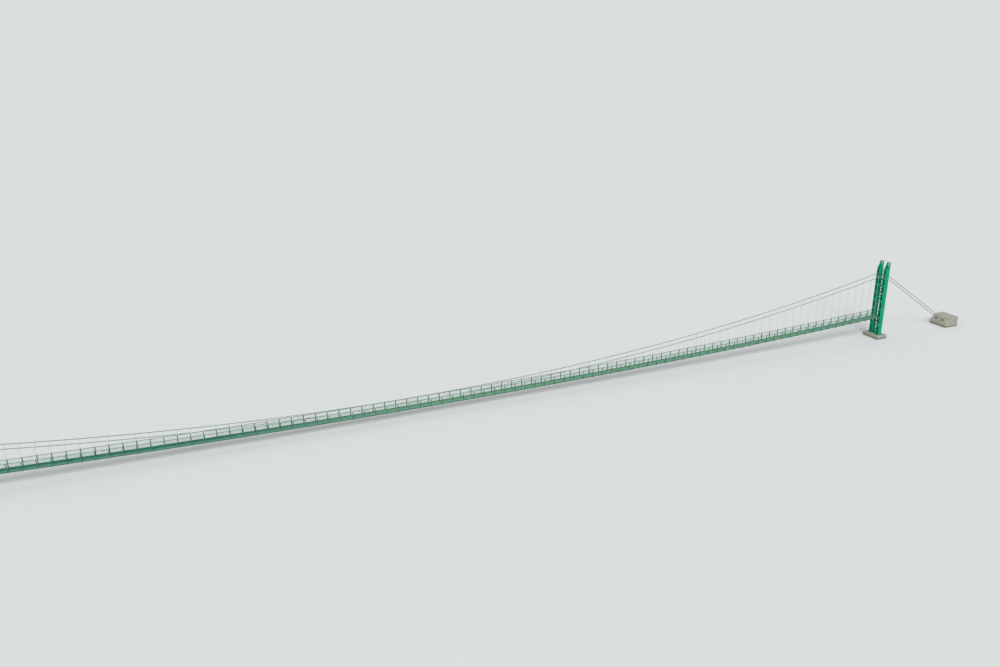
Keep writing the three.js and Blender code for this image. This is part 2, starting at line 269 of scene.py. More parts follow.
def galvanised(name, dull, bright, far_tint_colour):
    """Galvanised steel from a dull to a bright grey, tinted in patches at its far side and left end."""
    zinc, place = empty_material(name)
    spangle = add_node(zinc, "ShaderNodeTexVoronoi", {"Vector": place, "Scale": cycles_per(14)})
    crystal = add_node(zinc, "ShaderNodeSeparateColor", {"Color": spangle.outputs["Color"]})
    weather = add_node(zinc, "ShaderNodeTexNoise", {
        "Vector": place, "Scale": cycles_per(500), "Detail": 6.0})
    shade = add_node(zinc, "ShaderNodeMath", {
        0: crystal.outputs["Red"], 1: 0.3, 2: weather}, operation="MULTIPLY_ADD")
    greys = add_node(zinc, "ShaderNodeMapRange", {"Value": shade, "From Min": 0.4, "From Max": 0.9})
    metal = add_node(zinc, "ShaderNodeMix", {
        "Factor": greys, "A": linear(dull), "B": linear(bright)}, data_type="RGBA")
    where = add_node(zinc, "ShaderNodeSeparateXYZ", {"Vector": place})
    across = add_node(zinc, "ShaderNodeMapRange", {
        "Value": where.outputs["Y"], "From Min": TINT_STARTS_ACROSS, "From Max": TINT_FULL_ACROSS})
    along = add_node(zinc, "ShaderNodeMapRange", {
        "Value": where.outputs["X"], "From Min": TINT_STARTS_ALONG, "From Max": TINT_FULL_ALONG,
        "To Min": 0.3})
    darker_share = add_node(zinc, "ShaderNodeMath", {0: across, 1: along}, operation="MULTIPLY")
    tint_patches = add_node(zinc, "ShaderNodeMapRange", {
        "Value": weather, "From Min": 0.3, "From Max": 0.6, "To Min": 0.6})
    far_tint_share = add_node(zinc, "ShaderNodeMath", {0: darker_share, 1: tint_patches}, operation="MULTIPLY")
    coloured = add_node(zinc, "ShaderNodeMix", {
        "Factor": far_tint_share, "A": metal, "B": linear(far_tint_colour)}, data_type="RGBA")
    polish = add_node(zinc, "ShaderNodeMapRange", {
        "Value": crystal.outputs["Green"], "To Min": 0.45, "To Max": 0.65})
    close_material(zinc, {"Base Color": coloured, "Metallic": 0.35, "Roughness": polish})
    return zinc


# The grating's two greys are tinted green: painted green light from the canopy.
deck_zinc = galvanised("galvanised_grating_painted_green_light", "76a387", "a8d2b5", "0b6d60")
fitting_zinc = galvanised("galvanised_fittings", "8f9a94", "c4cdc7", "8f9a94")
print("finishes:", deck_zinc.name, fitting_zinc.name)

# %% [markdown]
# The main cables are laid wire ropes, strands twisted round a core and galvanised wire by wire.
# They catch the sky as bright threads. The strands are too fine for geometry over 200 metres, so
# they are a bump: the rope's own UV map counts strands round the rope and lays along it, and a sine
# of that count makes the round backs of the strands and paints shade into the grooves between them.

# %% Wire rope
STRANDS = 6
rope_steel, place = empty_material("galvanised_wire_rope")
lay = add_node(rope_steel, "ShaderNodeUVMap", uv_map="strands")
count = add_node(rope_steel, "ShaderNodeSeparateXYZ", {"Vector": lay})
turns = add_node(rope_steel, "ShaderNodeMath", {
    0: count.outputs["X"], 1: 2 * math.pi}, operation="MULTIPLY")
backs = add_node(rope_steel, "ShaderNodeMath", {0: turns}, operation="SINE")
strand_bump = add_node(rope_steel, "ShaderNodeBump", {
    "Height": backs, "Strength": 0.8, "Distance": real_mm(3)})
# Painted shade: the grooves between the strands are painted a darker grey.
groove_shade = add_node(rope_steel, "ShaderNodeMapRange", {
    "Value": backs, "From Min": -1.0, "From Max": 0.2})
tarnish = add_node(rope_steel, "ShaderNodeTexNoise", {
    "Vector": place, "Scale": cycles_per(700), "Detail": 5.0})
wires = add_node(rope_steel, "ShaderNodeMix", {
    "Factor": tarnish, "A": linear("80968c"), "B": linear("a6b9af")}, data_type="RGBA")
wires_with_groove_shade = add_node(rope_steel, "ShaderNodeMix", {
    "Factor": groove_shade, "A": linear("506059"), "B": wires}, data_type="RGBA")
close_material(rope_steel, {
    "Base Color": wires_with_groove_shade, "Metallic": 0.35, "Roughness": 0.42, "Normal": strand_bump})
print("finish:", rope_steel.name)

# %% [markdown]
# The saddles and sockets are steel castings, galvanised after they are cleaned. The sand of the mould
# leaves them pebbly, and zinc and grease make them a darker grey than the rolled steel.

# %% Cast steel
cast_steel, place = empty_material("galvanised_cast_steel")
sand = add_node(cast_steel, "ShaderNodeTexNoise", {
    "Vector": place, "Scale": cycles_per(6), "Detail": 3.0})
grease = add_node(cast_steel, "ShaderNodeTexNoise", {
    "Vector": place, "Scale": cycles_per(220), "Detail": 5.0})
cleaned = add_node(cast_steel, "ShaderNodeMix", {
    "Factor": grease, "A": linear("626a66"), "B": linear("939b96")}, data_type="RGBA")
pebbles = add_node(cast_steel, "ShaderNodeBump", {
    "Height": sand, "Strength": 0.5, "Distance": real_mm(2)})
close_material(cast_steel, {
    "Base Color": cleaned, "Metallic": 0.4, "Roughness": 0.55, "Normal": pebbles})
print("finish:", cast_steel.name)

# %% [markdown]
# The footings and anchor blocks are concrete cast against rough boards. The boards leave level
# joints every 150 mm and tint each lift a little, air leaves small pores, rain draws dark streaks
# down the upright faces, and moss creeps up from the ground. Each is a pattern at its real size,
# added one over the other.

# %% Board marked concrete
BOARD = real_mm(150)
concrete, place = empty_material("board_marked_concrete")
where = add_node(concrete, "ShaderNodeSeparateXYZ", {"Vector": place})
boards = add_node(concrete, "ShaderNodeMath", {0: where.outputs["Z"], 1: BOARD}, operation="DIVIDE")
within = add_node(concrete, "ShaderNodeMath", {0: boards}, operation="FRACT")
joint = add_node(concrete, "ShaderNodeMath", {0: within, 1: 0.06}, operation="LESS_THAN")
number = add_node(concrete, "ShaderNodeMath", {0: boards}, operation="FLOOR")
tint = add_node(concrete, "ShaderNodeTexWhiteNoise", {"W": number}, noise_dimensions="1D")
cloud = add_node(concrete, "ShaderNodeTexNoise", {
    "Vector": place, "Scale": cycles_per(450), "Detail": 7.0})
tinted = add_node(concrete, "ShaderNodeMath", {
    0: tint, 1: 0.22, 2: cloud}, operation="MULTIPLY_ADD")
cement = add_node(concrete, "ShaderNodeMapRange", {
    "Value": tinted, "From Min": 0.35, "From Max": 1.0})
cast = add_node(concrete, "ShaderNodeMix", {
    "Factor": cement, "A": linear("85827a"), "B": linear("aeaa9f")}, data_type="RGBA")
run_down = add_node(concrete, "ShaderNodeMapping", {"Vector": place, "Scale": (1.0, 1.0, 0.08)})
rain = add_node(concrete, "ShaderNodeTexNoise", {
    "Vector": run_down, "Scale": cycles_per(110), "Detail": 4.0})
facing = add_node(concrete, "ShaderNodeSeparateXYZ", {
    "Vector": add_node(concrete, "ShaderNodeTexCoord").outputs["Normal"]})
upright = add_node(concrete, "ShaderNodeMapRange", {
    "Value": facing.outputs["Z"], "From Min": 0.75, "From Max": 0.1, "To Max": 0.6})
streaked = add_node(concrete, "ShaderNodeMapRange", {
    "Value": rain, "From Min": 0.5, "From Max": 0.72, "To Max": upright})
soiled = add_node(concrete, "ShaderNodeMix", {
    "Factor": streaked, "A": cast, "B": linear("5c5b53")}, data_type="RGBA")
near_ground = add_node(concrete, "ShaderNodeMapRange", {
    "Value": where.outputs["Z"], "From Min": real(0.7), "From Max": 0.0})
moist = add_node(concrete, "ShaderNodeMath", {0: near_ground, 1: cloud}, operation="MULTIPLY")
moss = add_node(concrete, "ShaderNodeMapRange", {
    "Value": moist, "From Min": 0.2, "From Max": 0.5, "To Max": 0.75})
mossy = add_node(concrete, "ShaderNodeMix", {
    "Factor": moss, "A": soiled, "B": linear("4d5b35")}, data_type="RGBA")
pores = add_node(concrete, "ShaderNodeTexVoronoi", {"Vector": place, "Scale": cycles_per(35)})
pitted = add_node(concrete, "ShaderNodeMapRange", {
    "Value": pores, "From Min": 0.06, "From Max": 0.14})
relief = add_node(concrete, "ShaderNodeMath", {0: pitted, 1: joint}, operation="SUBTRACT")
cast_bump = add_node(concrete, "ShaderNodeBump", {
    "Height": relief, "Strength": 0.7, "Distance": real_mm(4)})
close_material(concrete, {"Base Color": mossy, "Roughness": 0.9, "Normal": cast_bump})
print("finish:", concrete.name)

# %% [markdown]
# New steel is modelled as by hand: a primitive is added at its size, its place is put into its mesh,
# and edit mode shapes it. The helpers here do what every piece needs: select one object only, open
# it with the right faces selected, and apply a modifier.

# %% Helpers for modelling


def deselect_all():
    for other in bpy.context.selected_objects:
        other.select_set(False)


def activate(piece):
    deselect_all()
    piece.select_set(True)
    bpy.context.view_layer.objects.active = piece


def take(finish):
    """Takes up the primitive that was just added, with its place in its mesh and a finish."""
    piece = bpy.context.object
    activate(piece)
    bpy.ops.object.transform_apply()
    piece.data.materials.append(finish)
    return piece


def start_box(low, high, finish):
    low, high = Vector(low), Vector(high)
    deselect_all()
    bpy.ops.mesh.primitive_cube_add(size=1, location=(low + high) / 2, scale=high - low)
    return take(finish)


def stand_box(foot, millimetres, finish):
    """A box on the middle of its foot. Its length, width and height are the real ones."""
    length, width, height = (real_mm(size) for size in millimetres)
    half = Vector((length / 2, width / 2, 0))
    return start_box(Vector(foot) - half, Vector(foot) + half + Vector((0, 0, height)), finish)


def edit(piece, kind, wanted):
    """Opens a piece in edit mode with those of its edges or polygons selected that pass a test."""
    activate(piece)
    mesh = piece.data
    bpy.context.tool_settings.mesh_select_mode = (False, kind == "edges", kind == "polygons")
    for group in (mesh.vertices, mesh.edges, mesh.polygons):
        group.foreach_set("select", [False] * len(group))
    corners = points_of(piece)
    for element in getattr(mesh, kind):
        middle = Vector(corners[list(element.vertices)].mean(axis=0))
        element.select = bool(wanted(middle, element))
    bpy.ops.object.mode_set(mode="EDIT")


def edit_all(piece):
    edit(piece, "polygons", lambda middle, face: True)


def close(recalculate=False):
    """Leaves edit mode, and first turns all faces outwards where that is asked for."""
    if recalculate:
        bpy.ops.mesh.select_all(action="SELECT")
        bpy.ops.mesh.normals_make_consistent(inside=False)
    bpy.ops.object.mode_set(mode="OBJECT")


def modify(piece, kind, **settings):
    activate(piece)
    modifier = piece.modifiers.new(kind.lower(), kind)
    for key, value in settings.items():
        setattr(modifier, key, value)
    bpy.ops.object.modifier_apply(modifier=modifier.name)
    return piece


def chamfer(piece, width, segments=2):
    return modify(piece, "BEVEL", width=width, segments=segments)


def row(piece, count, step, **merging):
    """Repeats a piece in a row with the same step."""
    return modify(piece, "ARRAY", count=count, use_relative_offset=False, use_constant_offset=True,
                  constant_offset_displace=step, **merging)


def cut(piece, point, normal):
    """Cuts off what lies beyond a plane, on the side that its normal points to."""
    edit_all(piece)
    bpy.ops.mesh.bisect(plane_co=point, plane_no=normal, use_fill=True, clear_outer=True)
    close()
    return piece


def join(name, parts):
    activate(parts[0])
    for part in parts:
        part.select_set(True)
    bpy.ops.object.join()
    joined = bpy.context.object
    joined.name = joined.data.name = name
    return joined


def copy_of(piece, name, place):
    """A copy with its own mesh, put in place by a matrix. A mirrored copy gets its faces turned out."""
    twin = piece.copy()
    twin.data = piece.data.copy()
    twin.name = twin.data.name = name
    bpy.context.collection.objects.link(twin)
    twin.data.transform(place)
    if place.determinant() < 0:
        twin.data.flip_normals()
    return twin


IN_PLACE = Matrix.Identity(4)
MIRROR_X = Matrix.Scale(-1, 4, (1, 0, 0))
MIRROR_Y = Matrix.Scale(-1, 4, (0, 1, 0))


def discard(*pieces):
    """Removes the models that were only there to be copied."""
    for piece in pieces:
        bpy.data.objects.remove(piece)


def hand_over(piece, slot, *nodes):
    """Ties a finished piece to the frame and hides the solids that it stands for. The slot is not used.
    """
    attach(piece, "root")
    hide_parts(*nodes)


def print_triangles(what, piece):
    print(what, "triangles:", sum(len(face.vertices) - 2 for face in piece.data.polygons))


print("helpers ready")

# %% [markdown]
# Rolled steel is the bridge's main stock. A channel has a web with a flange along each edge, and an
# angle has one flange. Both start as a flat plane for the web. Its edges are extruded as flanges,
# and a Solidify modifier gives the sheet the thickness of the steel, always towards the inside.
# Round stock starts as a disc that is extruded along its axis, and resized where it widens. Outlines
# of small pieces are lists of real millimetres, and those of bolts and nuts are shares of their size.

# %% Rolled and round steel
TINY = 1e-6
MM = real_mm(1)
WASHER_OUTLINE = ((0, 1.1), (0.15, 1.1))
BOLT_HEAD_OUTLINE = ((0.1, 0.9), (0.7, 0.9))


def rolled_bar(corner, along, web, flange, thickness, finish, legs=(0, 1), lengths=1):
    """A channel, or an angle with one leg. Three vectors from its corner give its length, its web
    and its flanges. Legs says which edges of the web have a flange: 0 at the corner, 1 across."""
    corner, along, web, flange = (Vector(v) for v in (corner, along, web, flange))
    turned = Matrix((web, along, web.cross(along).normalized())).transposed().to_4x4()
    middle_of_web = corner + (web + along) / 2
    deselect_all()
    bpy.ops.mesh.primitive_plane_add(size=1)
    bar = bpy.context.object
    bar.data.transform(Matrix.Translation(middle_of_web) @ turned)
    bar.data.materials.append(finish)
    roots = [corner + along / 2 + web * leg for leg in legs]
    edit(bar, "edges", lambda middle, edge: any((middle - root).length < TINY for root in roots))
    bpy.ops.mesh.extrude_region_move(TRANSFORM_OT_translate={"value": flange})
    close(recalculate=True)
    web_face = min(bar.data.polygons, key=lambda face: (face.center - middle_of_web).length)
    inwards = -1 if web_face.normal.dot(flange) < 0 else 1
    if lengths > 1:
        row(bar, lengths, along, use_merge_vertices=True, merge_threshold=TINY)
    return modify(bar, "SOLIDIFY", thickness=thickness, offset=inwards, use_even_offset=True)


def scaled(outline, unit):
    """An outline in model lengths, from pairs of numbers that count a unit."""
    return [(first * unit, second * unit) for first, second in outline]


def round_bar(foot, direction, profile, sides, finish):
    """A round piece. Its profile is a list of (distance along the axis, radius)."""
    foot, direction = Vector(foot), Vector(direction).normalized()
    reach, radius = profile[0]
    deselect_all()
    bpy.ops.mesh.primitive_circle_add(
        vertices=sides, radius=radius, fill_type="NGON", location=foot + direction * reach,
        rotation=direction.to_track_quat("Z", "Y").to_euler())
    bar = take(finish)
    edit_all(bar)
    for next_reach, next_radius in profile[1:]:
        if next_reach != reach:
            bpy.ops.mesh.extrude_region_move(
                TRANSFORM_OT_translate={"value": direction * (next_reach - reach)})
        else:
            bpy.ops.mesh.extrude_region_move()
        if next_radius != radius:
            bpy.ops.transform.resize(
                value=[next_radius / radius] * 3, center_override=foot + direction * next_reach)
        reach, radius = next_reach, next_radius
    close(recalculate=True)
    return bar


def cut_plate(outline, thickness, finish):
    """A plate of any outline: a disc with as many corners, moved to the outline and extruded."""
    deselect_all()
    bpy.ops.mesh.primitive_circle_add(vertices=len(outline), fill_type="NGON")
    plate = take(finish)
    move_points(plate, [tuple(corner) for corner in outline])
    edit_all(plate)
    bpy.ops.mesh.extrude_region_move(TRANSFORM_OT_translate={"value": thickness})
    close(recalculate=True)
    return plate


def smooth(piece, degrees=40):
    activate(piece)
    bpy.ops.object.shade_smooth_by_angle(angle=math.radians(degrees))
    return piece


def bolt(place, direction, size):
    """A hexagon bolt head on its washer, for a bolt of this diameter."""
    return [
        round_bar(place, direction, scaled(WASHER_OUTLINE, size), 8, fitting_zinc),
        round_bar(place, direction, scaled(BOLT_HEAD_OUTLINE, size), 6, fitting_zinc),
    ]


print("stock ready")

# %% [markdown]
# A side frame is welded up in lengths of 18 bays: an edge beam of channel steel, a channel post at
# each bay line and a round handrail. Where two lengths meet, each ends in an angle post, and the two
# angles are bolted back to back. One length is modelled straight at the middle of the bridge, at
# deck level zero. Its bars are divided at each bay, so that copies of it can follow the curve of the
# deck.

# %% Side frame, one length
FRAME_DEPTH = real_mm(50)
POST_WIDTH = real_mm(100)
STEEL = real_mm(6)
BEAM_LOW = -real_mm(37)
BEAM_HIGH = real_mm(50)
HANDRAIL_RADIUS = real_mm(25)
HANDRAIL_HEIGHT = real_mm(1075)
END_GAP = real_mm(2)
FOOT_PLATE = (160, 50, 6)
FOOT_PLATE_CHAMFER = real_mm(2)
FOOT_BOLT_FROM_POST = real_mm(66)
FRAME_BOLT = real_mm(14)
BOLT_SHARES = (0.15, 0.5, 0.85)

frame_outside = frame_y + FRAME_DEPTH / 2
frame_inside = frame_y - FRAME_DEPTH / 2
half_length = segment / 2
post_top = HANDRAIL_HEIGHT - HANDRAIL_RADIUS


def side_frame_length():
    beam = rolled_bar(
        (-half_length, frame_outside, BEAM_LOW), (bay, 0, 0), (0, 0, BEAM_HIGH - BEAM_LOW),
        (0, -FRAME_DEPTH, 0), STEEL, frame_enamel, lengths=BAYS_PER_SEGMENT)
    first_post = -half_length + bay
    post = rolled_bar(
        (first_post - POST_WIDTH / 2, frame_outside, BEAM_HIGH), (0, 0, post_top - BEAM_HIGH),
        (POST_WIDTH, 0, 0), (0, -FRAME_DEPTH, 0), STEEL, frame_enamel)
    foot_plate = stand_box((first_post, frame_y, BEAM_HIGH), FOOT_PLATE, frame_enamel)
    chamfer(foot_plate, FOOT_PLATE_CHAMFER, segments=1)
    parts = [post, foot_plate]
    for side in (-1, 1):
        place = (first_post + side * FOOT_BOLT_FROM_POST, frame_y, BEAM_HIGH + STEEL)
        parts += bolt(place, (0, 0, 1), FRAME_BOLT)
    posts = row(join("posts", parts), BAYS_PER_SEGMENT - 1, (bay, 0, 0))
    stations = [(i * bay, HANDRAIL_RADIUS) for i in range(BAYS_PER_SEGMENT + 1)]
    handrail = smooth(round_bar(
        (-half_length, frame_y, HANDRAIL_HEIGHT), (1, 0, 0), stations, 12, frame_enamel))
    end_posts = [end_angle(end * (half_length - END_GAP), -end) for end in (-1, 1)]
    return join("side_frame_length", [beam, posts, handrail] + end_posts)


def end_angle(x, way):
    """The angle post that ends a frame at x. Its web lies in the frame and points the given way."""
    angle = rolled_bar(
        (x, frame_outside, BEAM_HIGH), (0, 0, post_top - BEAM_HIGH), (way * FRAME_DEPTH, 0, 0),
        (0, -FRAME_DEPTH, 0), STEEL, frame_enamel, legs=(0,))
    parts = [angle]
    for share in BOLT_SHARES:
        place = (x + way * STEEL, frame_y, share * post_top + BEAM_HIGH)
        parts += bolt(place, (way, 0, 0), FRAME_BOLT)
    return join("end_angle", parts)


frame_model = side_frame_length()
print_triangles("side frame, one length,", frame_model)

# %% [markdown]
# The mesh is chain link of 50 mm, seen as two sets of wires that cross at 45 degrees. From the air
# it is a veil that greens the deck behind it. Woven wire would need millions of faces, so each wire
# is a straight three-sided bar, the two sets lie one behind the other, and line wires hold them.

# %% Wire mesh, one length
MESH_SIZE = real_mm(50)
WIRE_RADIUS = real_mm(2.1)
MESH_LOW = real_mm(58)
MESH_HIGH = real_mm(1045)
LINE_WIRE_HEIGHTS = (real_mm(66), real_mm(560), real_mm(1036))

mesh_rise = MESH_HIGH - MESH_LOW
wire_pitch = MESH_SIZE * math.sqrt(2)
mesh_y = frame_inside - WIRE_RADIUS


def wire_set(lean, y):
    """Parallel wires that climb at 45 degrees, leaning to the left or the right."""
    count = math.ceil((segment + mesh_rise) / wire_pitch)
    foot_x = -half_length - (mesh_rise if lean > 0 else 0)
    length = mesh_rise * math.sqrt(2)
    wires = round_bar(
        (foot_x, y, MESH_LOW), (lean, 0, 1), [(0, WIRE_RADIUS), (length, WIRE_RADIUS)], 3, coated_wire)
    row(wires, count, (wire_pitch, 0, 0))
    cut(wires, (-half_length + END_GAP, 0, 0), (-1, 0, 0))
    return cut(wires, (half_length - END_GAP, 0, 0), (1, 0, 0))


def mesh_length():
    parts = [wire_set(1, mesh_y), wire_set(-1, mesh_y - 2 * WIRE_RADIUS)]
    bay_lines = [i * bay for i in range(1, BAYS_PER_SEGMENT)]
    stations = [(reach, WIRE_RADIUS) for reach in [END_GAP] + bay_lines + [segment - END_GAP]]
    for height in LINE_WIRE_HEIGHTS:
        foot = (-half_length, mesh_y - WIRE_RADIUS, height)
        parts.append(round_bar(foot, (1, 0, 0), stations, 4, coated_wire))
    return join("mesh_length", parts)


mesh_model = mesh_length()
print_triangles("mesh, one length,", mesh_model)

# %% [markdown]
# The copies are shifted along the span, mirrored to the near side and lifted to the curve of the
# deck. At the towers a length would run into the leg, so it is cut at the leg's face, and an angle
# closes it there.

# %% Six lengths on each side
SIDES = {"near": MIRROR_Y, "far": IN_PLACE}
span_end = leg_front - END_GAP


def segment_middle(index):
    return (index - (SEGMENTS - 1) / 2) * segment


def lay_lengths(model, name, closing=None):
    """Copies a model to the six lengths, trims those at the towers and lifts all to the deck."""
    laid = []
    for index in range(SEGMENTS):
        piece_name = f"{name}_{index + 1}"
        length = copy_of(model, piece_name, Matrix.Translation((segment_middle(index), 0, 0)))
        if index in (0, SEGMENTS - 1):
            cut(length, (-span_end, 0, 0), (-1, 0, 0))
            cut(length, (span_end, 0, 0), (1, 0, 0))
            if closing:
                end = 1 if index else -1
                length = join(piece_name, [length, closing(end * span_end, -end)])
        laid.append(lift_to(deck_height, length))
    return laid


for side in SIDES:
    rails = lay_lengths(frame_model, f"{side}_side_rails", end_angle)
    meshes = lay_lengths(mesh_model, f"{side}_wire_mesh")
    for index in range(SEGMENTS):
        for piece in (rails[index], meshes[index]):
            if side == "near":
                piece.data.transform(MIRROR_Y)
                piece.data.flip_normals()
            hand_over(piece, "green_paint", f"side_frame_{side}_{index + 1}")
discard(frame_model, mesh_model)
print("side frames laid:", len(SIDES) * SEGMENTS)

# %% [markdown]
# The deck is pressed grating: bearing bars on edge along the bridge, with cross rods pressed into
# their tops and a band round each panel. One panel fills one bay. Seen low across the bars, the
# grating closes up, which is why the deck looks solid in the photograph. Under each joint lies a
# cross beam of channel steel, long enough to reach the hangers on both sides.

# %% Grating and cross beams, one length
PANEL_GAP = real_mm(10)
BAR_THICKNESS = real_mm(5)
BAR_PITCH = real_mm(33.3)
ROD_PITCH = real_mm(98)
ROD_SIZE = real_mm(7)
DECK_SIDE_GAP = real_mm(10)
DECK_HALF_WIDTH = frame_inside - DECK_SIDE_GAP
CROSS_BEAM_WIDTH = real_mm(80)
CROSS_BEAM_HALF_LENGTH = real_mm(770)
BEAM_STEEL = real_mm(7)
STIFFENER_FROM_HANGER = real_mm(35)


def grating_panel(low_x, high_x, half_width, level):
    """One panel of grating, with its top at a level."""
    bottom = level - GRATING_DEPTH
    length = high_x - low_x
    bars_across = round((2 * half_width - BAR_THICKNESS) / BAR_PITCH)
    bar_step = (2 * half_width - BAR_THICKNESS) / bars_across
    bar = start_box(
        (low_x + BAR_THICKNESS, -half_width, bottom),
        (high_x - BAR_THICKNESS, -half_width + BAR_THICKNESS, level), deck_zinc)
    row(bar, bars_across + 1, (0, bar_step, 0))
    rods_along = round(length / ROD_PITCH) - 1
    rod_step = length / (rods_along + 1)
    rod = start_box(
        (low_x + rod_step - ROD_SIZE / 2, -half_width, level - ROD_SIZE),
        (low_x + rod_step + ROD_SIZE / 2, half_width, level + ROD_SIZE / 4), deck_zinc)
    row(rod, rods_along, (rod_step, 0, 0))
    band = start_box(
        (low_x, -half_width, bottom), (low_x + BAR_THICKNESS, half_width, level), deck_zinc)
    row(band, 2, (length - BAR_THICKNESS, 0, 0))
    return join("grating_panel", [bar, rod, band])


def cross_beam(web_x, width):
    """A channel across the bridge, with stiffeners where the hangers bear. Width may point to -X."""
    low = -GRATING_DEPTH - CROSS_BEAM_DEPTH
    parts = [rolled_bar(
        (web_x, -CROSS_BEAM_HALF_LENGTH, low), (0, 2 * CROSS_BEAM_HALF_LENGTH, 0),
        (0, 0, CROSS_BEAM_DEPTH), (width, 0, 0), BEAM_STEEL, fitting_zinc)]
    xs = sorted((web_x + math.copysign(BEAM_STEEL, width), web_x + width))
    for hanger_y in (-cable_y, cable_y):
        for side in (-1, 1):
            middle = hanger_y + side * STIFFENER_FROM_HANGER
            parts.append(start_box(
                (xs[0], middle - BEAM_STEEL / 2, low + BEAM_STEEL),
                (xs[1], middle + BEAM_STEEL / 2, low + CROSS_BEAM_DEPTH - BEAM_STEEL), fitting_zinc))
    return join("cross_beam", parts)


def last_beam(x, way):
    """The narrower beam that ends a length at x, open the given way."""
    return cross_beam(x, way * CROSS_BEAM_WIDTH / 2)


def end_band(x, way):
    """The band that closes the last grating panel at the tower."""
    xs = sorted((x, x + way * BAR_THICKNESS))
    return start_box((xs[0], -DECK_HALF_WIDTH, -GRATING_DEPTH), (xs[1], DECK_HALF_WIDTH, 0), deck_zinc)


first_bay = -half_length
grating_model = row(
    grating_panel(first_bay + PANEL_GAP / 2, first_bay + bay - PANEL_GAP / 2, DECK_HALF_WIDTH, 0.0),
    BAYS_PER_SEGMENT, (bay, 0, 0))
whole_beams = row(
    cross_beam(first_bay + bay - CROSS_BEAM_WIDTH / 2, CROSS_BEAM_WIDTH),
    BAYS_PER_SEGMENT - 1, (bay, 0, 0))
end_beams = [last_beam(end * (half_length - END_GAP), -end) for end in (-1, 1)]
beam_model = join("cross_beam_length", [whole_beams] + end_beams)
print_triangles("grating, one length,", grating_model)

for index, grating in enumerate(lay_lengths(grating_model, "deck_grating", end_band)):
    hand_over(grating, "grating", f"deck_panel_{index + 1}")
for index, beams in enumerate(lay_lengths(beam_model, "deck_cross_beams", last_beam)):
    hand_over(beams, "galvanised", f"deck_panel_{index + 1}")
discard(grating_model, beam_model)
print("deck lengths laid:", SEGMENTS)

# %% [markdown]
# Each main cable is a bundle of three wire ropes of 46 mm. It follows the curve of the span, bends
# over the saddle on a radius of 0.9 m, and runs straight down to its anchor. One list of stations
# gives that line for half of the bridge, and its mirror image the other half.

# %% The line of the main cables
ROPE_RADIUS = real_mm(23)
BUNDLE_RADIUS = real_mm(50)
SADDLE_RADIUS = real(0.9)
SADDLE_START = real(0.27)
SADDLE_STEPS = 12
BACKSTAY_ANGLE = math.radians(34)


def rope_slope(x):
    return math.atan(2 * (deck_sag + ROPE_CLIMB) * x / tower_x ** 2)


def normal_at(slope):
    """Square to a rope of this slope, upwards."""
    return Vector((-math.sin(slope), 0, math.cos(slope)))


saddle_start_x = tower_x - SADDLE_START
span_slope = rope_slope(saddle_start_x)
saddle_start = Vector((saddle_start_x, 0, rope_height(saddle_start_x)))
saddle_centre = saddle_start - normal_at(span_slope) * SADDLE_RADIUS
stay_start = saddle_centre + normal_at(-BACKSTAY_ANGLE) * SADDLE_RADIUS
stay_direction = Vector((math.cos(BACKSTAY_ANGLE), 0, -math.sin(BACKSTAY_ANGLE)))
bundle_end_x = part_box("main_cable_far")[1].x - BUNDLE_RADIUS * math.sin(BACKSTAY_ANGLE)
stay_end = stay_start + stay_direction * ((bundle_end_x - stay_start.x) / stay_direction.x)


def half_line():
    """Places and slopes along a cable from mid span to the right anchor."""
    line = []
    for i in range(1, int(saddle_start_x / (bay / 2)) + 1):
        x = i * bay / 2
        line.append((Vector((x, 0, rope_height(x))), rope_slope(x)))
    for i in range(SADDLE_STEPS + 1):
        slope = span_slope + (-BACKSTAY_ANGLE - span_slope) * i / SADDLE_STEPS
        line.append((saddle_centre + normal_at(slope) * SADDLE_RADIUS, slope))
    line.append((stay_end, -BACKSTAY_ANGLE))
    return line


right_half = half_line()
left_half = [(Vector((-place.x, 0, place.z)), -slope) for place, slope in reversed(right_half)]
cable_line = left_half + [(Vector((0, 0, rope_height(0))), 0.0)] + right_half
print("cable stations:", len(cable_line))
print("backstay:", round((stay_end - stay_start).length, 3), "m of model")

# %% [markdown]
# The three ropes of a bundle touch, so their middles are the corners of a triangle with sides of two
# rope radii. A rope is a curve with a round bevel, turned into a mesh. The mesh has a ring of corners
# at each station, so its UV map is simple to work out: how many strands round the rope, turned
# steadily with the length. On the face that closes the ring, the count runs on instead of falling
# back to zero.

# %% Rope bundles
ROPE_SIDES = 8
LAY_LENGTH = real_mm(300)
BUNDLE_ANGLES = (90, 210, 330)
bundle_offset = 2 * ROPE_RADIUS / math.sqrt(3)


def rope(y, angle):
    """One rope of the bundle at y, set off from the cable's line at an angle."""
    turn = math.radians(angle)
    places = []
    for place, slope in cable_line:
        aside = Vector((0, math.cos(turn), 0)) + normal_at(slope) * math.sin(turn)
        places.append(place + Vector((0, y, 0)) + aside * bundle_offset)
    line = bpy.data.curves.new("rope", "CURVE")
    line.dimensions = "3D"
    line.bevel_depth = ROPE_RADIUS
    line.bevel_resolution = ROPE_SIDES // 2 - 2
    line.twist_mode = "Z_UP"
    spline = line.splines.new("POLY")
    spline.points.add(len(places) - 1)
    for point, place in zip(spline.points, places):
        point.co = (*place, 1)
    strand = bpy.data.objects.new("rope", line)
    bpy.context.collection.objects.link(strand)
    activate(strand)
    bpy.ops.object.convert(target="MESH")
    strand = bpy.context.object
    strand.data.materials.clear()
    strand.data.materials.append(rope_steel)
    map_strands(strand, places)
    edit_all(strand)
    bpy.ops.mesh.fill_holes(sides=ROPE_SIDES)
    close()
    return smooth(strand, 60)


